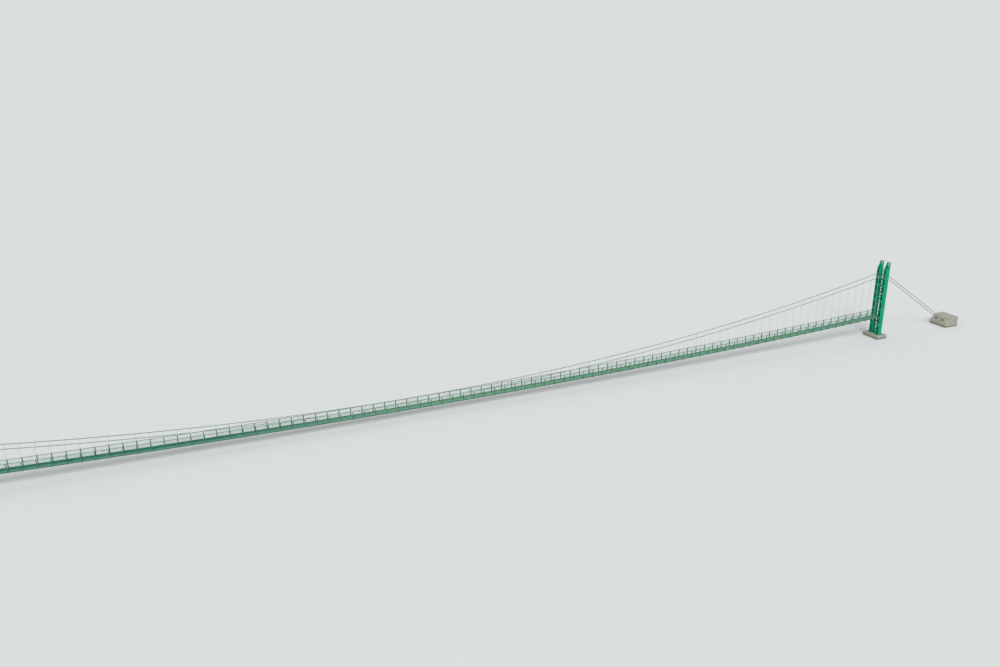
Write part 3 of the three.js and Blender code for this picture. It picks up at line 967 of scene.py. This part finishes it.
def map_strands(strand, places):
    """The rope's own UV map: strands round it, wound by its lay, and the length along it."""
    reach = [0.0]
    for before, after in zip(places, places[1:]):
        reach.append(reach[-1] + (after - before).length)
    for old in list(strand.data.uv_layers):
        strand.data.uv_layers.remove(old)
    layer = strand.data.uv_layers.new(name="strands")
    for face in strand.data.polygons:
        sides = [index % ROPE_SIDES for index in face.vertices]
        closes = 0 in sides and ROPE_SIDES - 1 in sides
        for loop, index, side in zip(face.loop_indices, face.vertices, sides):
            lays = reach[index // ROPE_SIDES] / LAY_LENGTH
            around = (ROPE_SIDES if closes and side == 0 else side) / ROPE_SIDES
            layer.data[loop].uv = (STRANDS * (around + lays), lays)


for side in SIDES:
    y = cable_y if side == "far" else -cable_y
    bundle = join(f"rope_bundle_{side}", [rope(y, angle) for angle in BUNDLE_ANGLES])
    hand_over(bundle, "wire_rope", f"main_cable_{side}")
print("ropes:", len(BUNDLE_ANGLES) * len(SIDES))

# %% [markdown]
# A hanger stands on the end of every cross beam and is clamped to the cable above it. It is a steel
# rod with a bearing plate and a turnbuckle below, and a two-bolt clamp on top. One is modelled with
# its real height in mid span and repeated at every bay line. Then each point is lifted with the
# deck, and the upper points also by the extra climb of the cable, which stretches only the rod.

# %% Hangers
HANGER_RADIUS = real_mm(11)
TURNBUCKLE_OUTLINE = ((20, 11), (35, 20), (235, 20), (255, 11))
CLAMP_OUTLINE = ((-45, 50), (-38, 59), (38, 59), (45, 50))
NUT_OUTLINE = ((0, 1), (0.8, 1))
HANGER_PLATE = (100, 76, 10)
HANGER_LUG = (14, 48, 85)
CLAMP_EARS = (64, 18, 75)
ROD_END_UNDER_CABLE = real_mm(40)
PLATE_NUT = real_mm(11)
PLATE_NUT_FROM_ROD = real_mm(35)
EAR_NUT = real_mm(9)
EAR_NUT_FROM_ROD = real_mm(18)
EAR_NUT_UNDER_CABLE = real_mm(30)
hanger_count = BAYS_PER_SEGMENT * SEGMENTS - 1
first_hanger = -tower_x + bay


def plain_nut(place, direction, size):
    return round_bar(place, direction, scaled(NUT_OUTLINE, size), 6, fitting_zinc)


def hanger_unit():
    x, y = first_hanger, cable_y
    seat = -GRATING_DEPTH
    plate_top = seat + HANGER_PLATE[2] * MM
    cable_low = ROPE_OVER_DECK - BUNDLE_RADIUS
    rod_outline = scaled(TURNBUCKLE_OUTLINE, MM) + [(cable_low - ROD_END_UNDER_CABLE, HANGER_RADIUS)]
    parts = [
        stand_box((x, y, seat), HANGER_PLATE, fitting_zinc),
        stand_box((x, y, seat), HANGER_LUG, fitting_zinc),
        stand_box((x, y, cable_low - CLAMP_EARS[2] * MM), CLAMP_EARS, fitting_zinc),
        smooth(round_bar((x, y, 0), (0, 0, 1), rod_outline, 6, fitting_zinc), 30),
        round_bar((x, y, ROPE_OVER_DECK), (1, 0, 0), scaled(CLAMP_OUTLINE, MM), 8, fitting_zinc),
    ]
    ear_face = y + CLAMP_EARS[1] * MM / 2
    for way in (-1, 1):
        on_plate = (x + way * PLATE_NUT_FROM_ROD, y, plate_top)
        on_ear = (x + way * EAR_NUT_FROM_ROD, ear_face, cable_low - EAR_NUT_UNDER_CABLE)
        parts.append(plain_nut(on_plate, (0, 0, 1), PLATE_NUT))
        parts.append(plain_nut(on_ear, (0, 1, 0), EAR_NUT))
    return join("hanger", parts)


hangers = row(hanger_unit(), hanger_count, (bay, 0, 0))
hanger_points = points_of(hangers)
upper = hanger_points[:, 2] > ROPE_OVER_DECK / 2
hanger_points[upper, 2] += ROPE_CLIMB * (hanger_points[upper, 0] / tower_x) ** 2
move_points(hangers, hanger_points)
lift_to(deck_height, hangers)
for side, mirror in SIDES.items():
    hand_over(copy_of(hangers, f"hangers_{side}", mirror), "galvanised", f"main_cable_{side}")
print_triangles(f"{hanger_count} hangers,", hangers)
discard(hangers)

# %% [markdown]
# A tower leg is a pair of deep built-up channels, web outwards, tied together by batten plates that
# are bolted to their flanges. From the span it looks like a ladder. Above the saddle the pair runs
# on as a horn whose front edge leans back. Each channel starts as a box. A bisect cuts the sloping
# edge, and its inner face is inset and pushed in, which leaves the web and the flanges.

# %% One tower leg
SIDE_MEMBER = real_mm(80)
LEG_STEEL = real_mm(12)
BASE_PLATE = real_mm(40)
BASE_PLATE_CHAMFER = real_mm(6)
BATTEN_HEIGHT = real_mm(450)
BATTEN_PITCH = real_mm(1350)
BATTEN_BOLT = real_mm(20)
HORN_TAPER_START = real_mm(750)
HORN_SET_BACK = real_mm(580)
CAP_HEIGHT = real_mm(150)
SEAT_STEEL = real_mm(25)
GUSSET_HEIGHT = real_mm(260)
GUSSET_REACH = 0.75 * BASE_PLATE_MARGIN
GUSSET_OUTLINE = ((0, 0), (1, 0), (1, 0.15), (0.2, 1), (0, 1))
SIDE_GUSSET_INSET = real_mm(40)
END_GUSSET_INSET = real_mm(20)
ANCHOR_BOLT = real_mm(30)

leg_inside = leg_low.y + BASE_PLATE_MARGIN
leg_outside = leg_high.y - BASE_PLATE_MARGIN
base_top = leg_low.z + BASE_PLATE
horn_top = leg_high.z
saddle_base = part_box("saddle_right_far")[0].z
taper_start = saddle_centre.z + SADDLE_RADIUS + HORN_TAPER_START


def side_member(web_y, way):
    """A channel as deep as the leg, with its web at web_y. Its hollow side faces the given way."""
    ys = sorted((web_y, web_y + way * SIDE_MEMBER))
    member = start_box(
        (leg_front, ys[0], base_top), (leg_back, ys[1], horn_top - LEG_STEEL), tower_enamel)
    cut(member, (leg_front, 0, taper_start), (taper_start - horn_top, 0, HORN_SET_BACK))
    edit(member, "polygons", lambda middle, face: face.normal.y * way > 0.9)
    bpy.ops.mesh.inset(thickness=LEG_STEEL)
    push_in = (0, way * (LEG_STEEL - SIDE_MEMBER), 0)
    bpy.ops.mesh.extrude_region_move(TRANSFORM_OT_translate={"value": push_in})
    close(recalculate=True)
    return member


def between_webs(x0, x1, low, high):
    """A box that reaches from web to web of the two channels."""
    return start_box(
        (x0, leg_inside + LEG_STEEL, low), (x1, leg_outside - LEG_STEEL, high), tower_enamel)


def batten_heights():
    """The lower edge of each batten, from the saddle down."""
    heights = []
    low = saddle_base - BATTEN_HEIGHT
    while low > base_top + BATTEN_HEIGHT / 4:
        heights.append(low)
        low -= BATTEN_PITCH
    return heights


def batten(low, face_x, outward):
    """A plate behind the flanges at face_x, with a row of bolts through each flange. There is no
    room for bolt heads where the deck meets the leg."""
    high = low + BATTEN_HEIGHT
    xs = sorted((face_x - outward * LEG_STEEL, face_x - outward * 2 * LEG_STEEL))
    parts = [between_webs(xs[0], xs[1], low, high)]
    meets_deck = outward < 0 and low < deck_end < high
    if not meets_deck:
        for y in (leg_inside + SIDE_MEMBER / 2, leg_outside - SIDE_MEMBER / 2):
            for share in BOLT_SHARES:
                place = (face_x, y, low + share * BATTEN_HEIGHT)
                parts += bolt(place, (outward, 0, 0), BATTEN_BOLT)
    return parts


def stiffener(z, web_y, way):
    """A level plate inside a channel, across its web."""
    ys = sorted((web_y + way * LEG_STEEL, web_y + way * (SIDE_MEMBER - LEG_STEEL / 2)))
    return start_box(
        (leg_front + LEG_STEEL, ys[0], z - LEG_STEEL / 3),
        (leg_back - LEG_STEEL, ys[1], z + LEG_STEEL / 3), tower_enamel)


def gusset(foot, outward, thickness):
    """A small upright plate on the base plate. It stands against the leg and tapers outwards."""
    foot, outward = Vector(foot), Vector(outward) * GUSSET_REACH
    rise = Vector((0, 0, GUSSET_HEIGHT))
    corners = [foot + outward * out + rise * up for out, up in GUSSET_OUTLINE]
    return cut_plate(corners, thickness, tower_enamel)


def base_plate():
    plate = start_box(tuple(leg_low), (leg_high.x, leg_high.y, base_top), tower_enamel)
    parts = [chamfer(plate, BASE_PLATE_CHAMFER)]
    for x in (leg_front + SIDE_GUSSET_INSET, leg_back - SIDE_GUSSET_INSET):
        parts.append(gusset((x, leg_outside, base_top), (0, 1, 0), (LEG_STEEL, 0, 0)))
    for y in (leg_inside + END_GUSSET_INSET, leg_outside - END_GUSSET_INSET):
        parts.append(gusset((leg_back, y, base_top), (1, 0, 0), (0, LEG_STEEL, 0)))
        parts.append(gusset((leg_front, y, base_top), (-1, 0, 0), (0, LEG_STEEL, 0)))
    inset = BASE_PLATE_MARGIN / 2
    front_x, back_x = leg_low.x + inset, leg_high.x - inset
    along_outside = [(x, leg_high.y - inset) for x in (front_x, tower_x, back_x)]
    for x, y in along_outside + [(front_x, leg_y), (back_x, leg_y)]:
        parts += bolt((x, y, base_top), (0, 0, 1), ANCHOR_BOLT)
    return parts


def tower_leg():
    parts = [side_member(leg_outside, -1), side_member(leg_inside, 1)] + base_plate()
    for low in batten_heights():
        parts += batten(low, leg_front, -1) + batten(low, leg_back, 1)
        middle = low + BATTEN_HEIGHT / 2
        parts += [stiffener(middle, leg_outside, -1), stiffener(middle, leg_inside, 1)]
    parts.append(between_webs(
        leg_front + 2 * LEG_STEEL, leg_back - 2 * LEG_STEEL, saddle_base - SEAT_STEEL, saddle_base))
    cap_front = leg_front + HORN_SET_BACK
    cap_low = horn_top - LEG_STEEL
    parts.append(start_box(
        (cap_front, leg_inside, cap_low), (leg_back, leg_outside, horn_top), tower_enamel))
    for x in (cap_front, leg_back - 2 * LEG_STEEL):
        parts.append(between_webs(x, x + LEG_STEEL, horn_top - CAP_HEIGHT, cap_low))
    return join("tower_leg_model", parts)


leg_model = tower_leg()
print("tower leg, battens:", len(batten_heights()))
print_triangles("tower leg,", leg_model)

# %% [markdown]
# The saddle is a steel casting in which the cable lies. Its groove is a U-shaped section, spun about
# the centre of the bend. Under it stand a spine along the cable and cross ribs on a foot plate. The
# ribs are cut to height from the circle of the bed.

# %% Saddle
GROOVE_HALF = real_mm(53)
LIP = real_mm(30)
BED = real_mm(45)
BED_GAP = real_mm(2)
FILLET_HEIGHT = real_mm(12)
FILLET_SHARE = 0.7
SADDLE_FOOT = real_mm(30)
SADDLE_CHAMFER = real_mm(5)
SPINE = real_mm(36)
RIB = real_mm(18)
RIB_FOOT_SHARE = 0.95
RIB_TOP_SHARE = 0.8
SADDLE_BOLT = real_mm(16)
SADDLE_BOLT_INSET = real_mm(25)
SADDLE_BOLT_ASIDE = real_mm(60)
saddle_bed = SADDLE_RADIUS - BUNDLE_RADIUS - BED_GAP
half_foot = GROOVE_HALF + LIP


def groove():
    """The section of the groove where the cable comes on, spun to where it leaves."""
    start_normal = normal_at(span_slope)
    fillet_y = GROOVE_HALF * FILLET_SHARE
    fillet = saddle_bed + FILLET_HEIGHT
    outline = [
        (-half_foot, saddle_bed - BED), (half_foot, saddle_bed - BED), (half_foot, SADDLE_RADIUS),
        (GROOVE_HALF, SADDLE_RADIUS), (fillet_y, fillet), (0, saddle_bed),
        (-fillet_y, fillet), (-GROOVE_HALF, SADDLE_RADIUS), (-half_foot, SADDLE_RADIUS),
    ]
    deselect_all()
    bpy.ops.mesh.primitive_circle_add(vertices=len(outline), fill_type="NGON")
    section = take(cast_steel)
    move_points(section, [
        tuple(saddle_centre + start_normal * radius + Vector((0, cable_y + y, 0)))
        for y, radius in outline])
    edit_all(section)
    bpy.ops.mesh.spin(
        steps=SADDLE_STEPS, angle=-span_slope - BACKSTAY_ANGLE, center=saddle_centre, axis=(0, 1, 0))
    close(recalculate=True)
    return section


def under_bed(x):
    """The height of a rib's top at x, where it runs into the bed."""
    return saddle_centre.z + math.sqrt((saddle_bed - BED / 2) ** 2 - (x - saddle_centre.x) ** 2)


def saddle():
    front_x, back_x = (
        (saddle_centre + normal_at(slope) * saddle_bed).x for slope in (span_slope, -BACKSTAY_ANGLE))
    foot_top = saddle_base + SADDLE_FOOT
    foot = start_box(
        (front_x, cable_y - half_foot, saddle_base), (back_x, cable_y + half_foot, foot_top), cast_steel)
    chamfer(foot, SADDLE_CHAMFER)
    xs = [front_x + (back_x - front_x) * i / SADDLE_STEPS for i in range(1, SADDLE_STEPS)]
    spine_y = cable_y - SPINE / 2
    spine = cut_plate(
        [(xs[0], spine_y, foot_top), (xs[-1], spine_y, foot_top)]
        + [(x, spine_y, under_bed(x)) for x in reversed(xs)],
        (0, SPINE, 0), cast_steel)
    parts = [groove(), foot, spine]
    rib_foot, rib_top = half_foot * RIB_FOOT_SHARE, half_foot * RIB_TOP_SHARE
    for x in (xs[1], xs[len(xs) // 2], xs[-2]):
        parts.append(cut_plate([
            (x, cable_y - rib_foot, foot_top), (x, cable_y + rib_foot, foot_top),
            (x, cable_y + rib_top, under_bed(x)), (x, cable_y - rib_top, under_bed(x)),
        ], (RIB, 0, 0), cast_steel))
    for x in (xs[0] + SADDLE_BOLT_INSET, xs[-1] - SADDLE_BOLT_INSET):
        for y in (cable_y - SADDLE_BOLT_ASIDE, cable_y + SADDLE_BOLT_ASIDE):
            parts += bolt((x, y, foot_top), (0, 0, 1), SADDLE_BOLT)
    return join("saddle_model", parts)


saddle_model = saddle()
print_triangles("saddle,", saddle_model)

# %% [markdown]
# At the anchor the ropes fan into a steel socket and are locked there in poured zinc. The socket is
# turned from its profile, stands on a square bearing plate against the concrete, and is stayed by
# four ribs. It is modelled along X and then tipped down to the slope of the backstay.

# %% Anchor socket
SOCKET_LENGTH = real_mm(500)
BEARING_PLATE = real_mm(60)
BEARING_HALF = real_mm(220)
BEARING_CHAMFER = real_mm(8)
FACE_GAP = real_mm(3)
SOCKET_RIB = real_mm(18)
SOCKET_RIB_OUTLINE = ((0, 100), (0, 200), (-90, 105), (-90, 90))
SOCKET_BOLT = real_mm(36)
SOCKET_BOLT_FROM_AXIS = real_mm(235)
SOCKET_BOLT_END = ((0, 16), (62, 16))
SOCKET_OUTLINE = (
    (-560, 60), (-552, 70), (-510, 70), (-500, 64), (-480, 66), (-460, 74),
    (-150, 116), (-150, 128), (-100, 128), (-100, 119), (-63, 120),
)


def socket():
    plate_front = -BEARING_PLATE - FACE_GAP
    plate = start_box(
        (plate_front, -BEARING_HALF, -BEARING_HALF), (-FACE_GAP, BEARING_HALF, BEARING_HALF), cast_steel)
    cone = smooth(round_bar((0, 0, 0), (1, 0, 0), scaled(SOCKET_OUTLINE, MM), 24, cast_steel), 30)
    parts = [chamfer(plate, BEARING_CHAMFER), cone]
    rib_corners = [
        (plate_front + x, -SOCKET_RIB / 2, z) for x, z in scaled(SOCKET_RIB_OUTLINE, MM)]
    for quarter in range(4):
        rib = cut_plate(rib_corners, (0, SOCKET_RIB, 0), cast_steel)
        rib.data.transform(Matrix.Rotation(quarter * math.pi / 2, 4, "X"))
        to_corner = Matrix.Rotation((quarter + 0.5) * math.pi / 2, 4, "X")
        corner = to_corner @ Vector((plate_front, 0, SOCKET_BOLT_FROM_AXIS))
        parts += [rib] + bolt(corner, (-1, 0, 0), SOCKET_BOLT)
        parts.append(round_bar(corner, (-1, 0, 0), scaled(SOCKET_BOLT_END, MM), 10, fitting_zinc))
    made = join("socket_model", parts)
    face = stay_end + stay_direction * (SOCKET_LENGTH + BEARING_PLATE + 2 * FACE_GAP)
    face.y = cable_y
    made.data.transform(Matrix.Translation(face) @ Matrix.Rotation(BACKSTAY_ANGLE, 4, "Y"))
    return made


socket_model = socket()
print_triangles("socket,", socket_model)

# %% [markdown]
# Between the two legs stand level struts with a cross of diagonals in each panel. The struts are
# channels, and the diagonals are angles. One angle lies to the front and the other to the back, so
# that they pass each other, and they are bolted together through a plate where they cross.

# %% Cross bracing
STRUT_STEEL = real_mm(8)
STRUT_WEB = real_mm(90)
DIAGONAL_LEG = real_mm(50)
PLATE_STEEL = real_mm(12)
CENTRE_PLATE_REACH = real_mm(130)
CORNER_PLATE_OUTLINE = ((0, 0), (210, 0), (120, 210), (0, 260))
BRACING_BOLT = real_mm(16)
BOLT_ACROSS = real_mm(40)
BOLT_ABOVE = real_mm(50)
OCTAGON = [math.radians(22.5 + 45 * corner) for corner in range(8)]


def bracing_plate(outline):
    """A plate in the middle of the tower, from its outline in Y and Z."""
    corners = [(tower_x - PLATE_STEEL / 2, y, z) for y, z in outline]
    return cut_plate(corners, (PLATE_STEEL, 0, 0), tower_enamel)


def bracing(node, panels):
    low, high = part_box(node)
    pitch = (high.z - low.z - STRUT_WEB) / panels
    across = high.y - low.y
    depth = high.x - low.x
    web = (0, 0, STRUT_WEB)
    parts = []
    for i in range(panels + 1):
        parts.append(rolled_bar(
            (low.x, low.y, low.z + i * pitch), (0, across, 0), web, (depth, 0, 0),
            STRUT_STEEL, tower_enamel))
    for i in range(panels):
        z = low.z + i * pitch
        centre_z = z + (pitch + STRUT_WEB) / 2
        for x, way in ((low.x + STRUT_STEEL, -1), (high.x - STRUT_STEEL, 1)):
            parts.append(rolled_bar(
                (x, way * high.y, z), (0, -way * across, pitch), web,
                (way * (STRUT_STEEL - DIAGONAL_LEG), 0, 0), STRUT_STEEL, tower_enamel, legs=(0,)))
            for side in (-1, 1):
                place = (x, side * BOLT_ACROSS, centre_z - side * way * BOLT_ABOVE)
                parts += bolt(place, (way, 0, 0), BRACING_BOLT)
        parts.append(bracing_plate([
            (CENTRE_PLATE_REACH * math.cos(a), centre_z + CENTRE_PLATE_REACH * math.sin(a))
            for a in OCTAGON]))
        for side in (-1, 1):
            leg_face = side * across / 2
            for corner_z, way in ((z + STRUT_WEB, 1), (z + pitch, -1)):
                parts.append(bracing_plate([
                    (leg_face - side * inwards, corner_z + way * up)
                    for inwards, up in scaled(CORNER_PLATE_OUTLINE, MM)]))
    return join("bracing_model", parts)


base_bracing_model = bracing("base_bracing_right", 2)
portal_bracing_model = bracing("tower_bracing_right", 4)
print_triangles("portal bracing,", portal_bracing_model)

# %% [markdown]
# The landing carries the walkway off the deck and between the legs. It is the deck's grating again,
# in one panel between two channels that stand up as kerbs.

# %% Landing
KERB_FLANGE = real_mm(40)
KERB_STEEL = real_mm(6)
KERB_GAP = real_mm(2)


def landing():
    size = landing_high - landing_low
    half_width = landing_high.y - KERB_STEEL - KERB_GAP
    parts = [grating_panel(landing_low.x, landing_high.x, half_width, deck_end)]
    for side in (-1, 1):
        parts.append(rolled_bar(
            (landing_low.x, side * landing_high.y, landing_low.z), (size.x, 0, 0), (0, 0, size.z),
            (0, -side * KERB_FLANGE, 0), KERB_STEEL, fitting_zinc))
    return join("landing_model", parts)


landing_model = landing()
print_triangles("landing,", landing_model)

# %% [markdown]
# Footings and anchor blocks are plain masses of concrete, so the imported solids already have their
# shape. A copy of each is merged to whole faces, and its edges get the chamfer that a fillet strip in
# the formwork leaves. The copies are modelled for the right end and mirrored for the left.

# %% Cast blocks
CHAMFER = real_mm(30)


def cast_block(node):
    block = copy_of(frame["nodes"][node], "block_model", IN_PLACE)
    block.parent = None
    for key in list(block.keys()):
        del block[key]
    block.data.materials.clear()
    block.data.materials.append(concrete)
    edit_all(block)
    bpy.ops.mesh.remove_doubles(threshold=TINY)
    bpy.ops.mesh.dissolve_limited(angle_limit=math.radians(1))
    close()
    return chamfer(block, CHAMFER)


footing_model = cast_block("tower_footing_right")
anchor_model = cast_block("anchor_block_right")
print_triangles("anchor block,", anchor_model)

# %% [markdown]
# Everything for one corner of the bridge now exists once, at the right end and on the far side. The
# other corners are mirror images. A mirrored mesh is inside out until its faces are turned.

# %% Towers and anchors at both ends
ENDS = {"left": MIRROR_X, "right": IN_PLACE}
CORNER_PIECES = (
    (leg_model, "leg_steel", "green_paint", "tower_leg"),
    (saddle_model, "saddle_casting", "galvanised", "saddle"),
    (socket_model, "cable_socket", "galvanised", "anchor_socket"),
)
END_PIECES = (
    (base_bracing_model, "base_cross_bracing", "green_paint", "base_bracing"),
    (portal_bracing_model, "portal_cross_bracing", "green_paint", "tower_bracing"),
    (landing_model, "landing_grating", "grating", "landing"),
    (footing_model, "cast_footing", "concrete", "tower_footing"),
    (anchor_model, "cast_anchor_block", "concrete", "anchor_block"),
)


def place_copies(pieces, where, to_place):
    """Copies models to a corner or an end, and names the pieces and their solids for it."""
    for model, name, slot, node in pieces:
        hand_over(copy_of(model, f"{name}_{where}", to_place), slot, f"{node}_{where}")


for end, to_end in ENDS.items():
    place_copies(END_PIECES, end, to_end)
    for side, to_side in SIDES.items():
        place_copies(CORNER_PIECES, f"{end}_{side}", to_end @ to_side)
discard(*[model for model, *_ in CORNER_PIECES + END_PIECES])
print("towers and anchors placed")

# %% [markdown]
# The floor is plain matt studio board. It reaches far past the bridge, because the camera looks
# down only a little and sees it up to the horizon. Its grey is chosen so that the lit board is as
# bright as the sky behind it, which hides the horizon, and a faint grain keeps it from being flat.

# %% Floor
FLOOR_SIZE = 900.0
board, place = empty_material("pale_studio_board")
grain = add_node(board, "ShaderNodeTexNoise", {"Vector": place, "Scale": 3.0, "Detail": 2.0})
paper = add_node(board, "ShaderNodeMix", {
    "Factor": grain, "A": linear("c5c6c6"), "B": linear("c9caca")}, data_type="RGBA")
close_material(board, {"Base Color": paper, "Roughness": 1.0, "Specular IOR Level": 0.0})

deselect_all()
bpy.ops.mesh.primitive_plane_add(size=FLOOR_SIZE)
floor = bpy.context.object
floor.name = "studio_floor"
floor.data.materials.append(board)
print("floor", FLOOR_SIZE, "m wide")

# %% [markdown]
# The photograph was taken from the air, from the near side and left of the middle of the span. The
# camera's place, heading and lens were worked out beforehand from the two cables, the deck and the
# tower, as one camera that sees them all where the photograph shows them.

# %% Camera
CAMERA_PLACE = Vector((-2.7407, -10.4632, 4.9072))
HEADING = math.radians(22.108)
PITCH_DOWN = math.radians(19.021)
ROLL = math.radians(0.643)
LENS_MM = 31.195
SENSOR_MM = 36.0

ahead = Vector((
    math.sin(HEADING) * math.cos(PITCH_DOWN),
    math.cos(HEADING) * math.cos(PITCH_DOWN),
    -math.sin(PITCH_DOWN),
))
level_right = Vector((math.cos(HEADING), -math.sin(HEADING), 0))
level_up = level_right.cross(ahead)
right = level_right * math.cos(ROLL) - level_up * math.sin(ROLL)
up = level_up * math.cos(ROLL) + level_right * math.sin(ROLL)
turn = Matrix((right, up, -ahead)).transposed()

bpy.ops.object.camera_add(location=CAMERA_PLACE, rotation=turn.to_euler())
camera = bpy.context.object
camera.name = "photo_camera"
camera.data.lens = LENS_MM
camera.data.sensor_width = SENSOR_MM
camera.data.clip_end = 2 * FLOOR_SIZE
bpy.context.scene.camera = camera
print("camera looks", round(math.degrees(PITCH_DOWN), 1), "degrees down")

# %% [markdown]
# The light is that of a bright, overcast day: an even sky, and one broad soft light from the near
# side that makes the near faces of the tower legs the brightest, as they are in the photograph.

# %% Light
SKY_STRENGTH = 0.82
SOFT_LIGHT_STRENGTH = 2.6
SOFT_LIGHT_ANGLE = math.radians(30)
SOFT_LIGHT_TURN = (math.radians(50), 0, math.radians(-20))

sky = bpy.data.worlds.new("overcast_sky")
sky.use_nodes = True
background = sky.node_tree.nodes["Background"]
background.inputs["Color"].default_value = linear("eef2f2")
background.inputs["Strength"].default_value = SKY_STRENGTH
bpy.context.scene.world = sky
bpy.ops.object.light_add(type="SUN", rotation=SOFT_LIGHT_TURN)
soft_light = bpy.context.object
soft_light.name = "broad_soft_light"
soft_light.data.energy = SOFT_LIGHT_STRENGTH
soft_light.data.angle = SOFT_LIGHT_ANGLE
bpy.context.scene.view_settings.view_transform = "Standard"
print("sky", SKY_STRENGTH, "soft light", SOFT_LIGHT_STRENGTH)

# %% [markdown]
# Every solid is hidden now behind a detailed piece, but it stays in the file and in the tests of
# motion. It gets the finish of its slot all the same, so that it looks right wherever it is shown.

# %% Finishes of the solids
FINISH_OF_SLOT = {
    "green_paint": tower_enamel,
    "grating": deck_zinc,
    "galvanised": fitting_zinc,
    "wire_rope": rope_steel,
    "concrete": concrete,
}
for part in frame["record"]["subparts"]:
    solid = frame["nodes"][part["node"]]
    solid.data.materials.clear()
    solid.data.materials.append(FINISH_OF_SLOT[part["material_slot"]])
print("finished", len(frame["nodes"]), "solids")
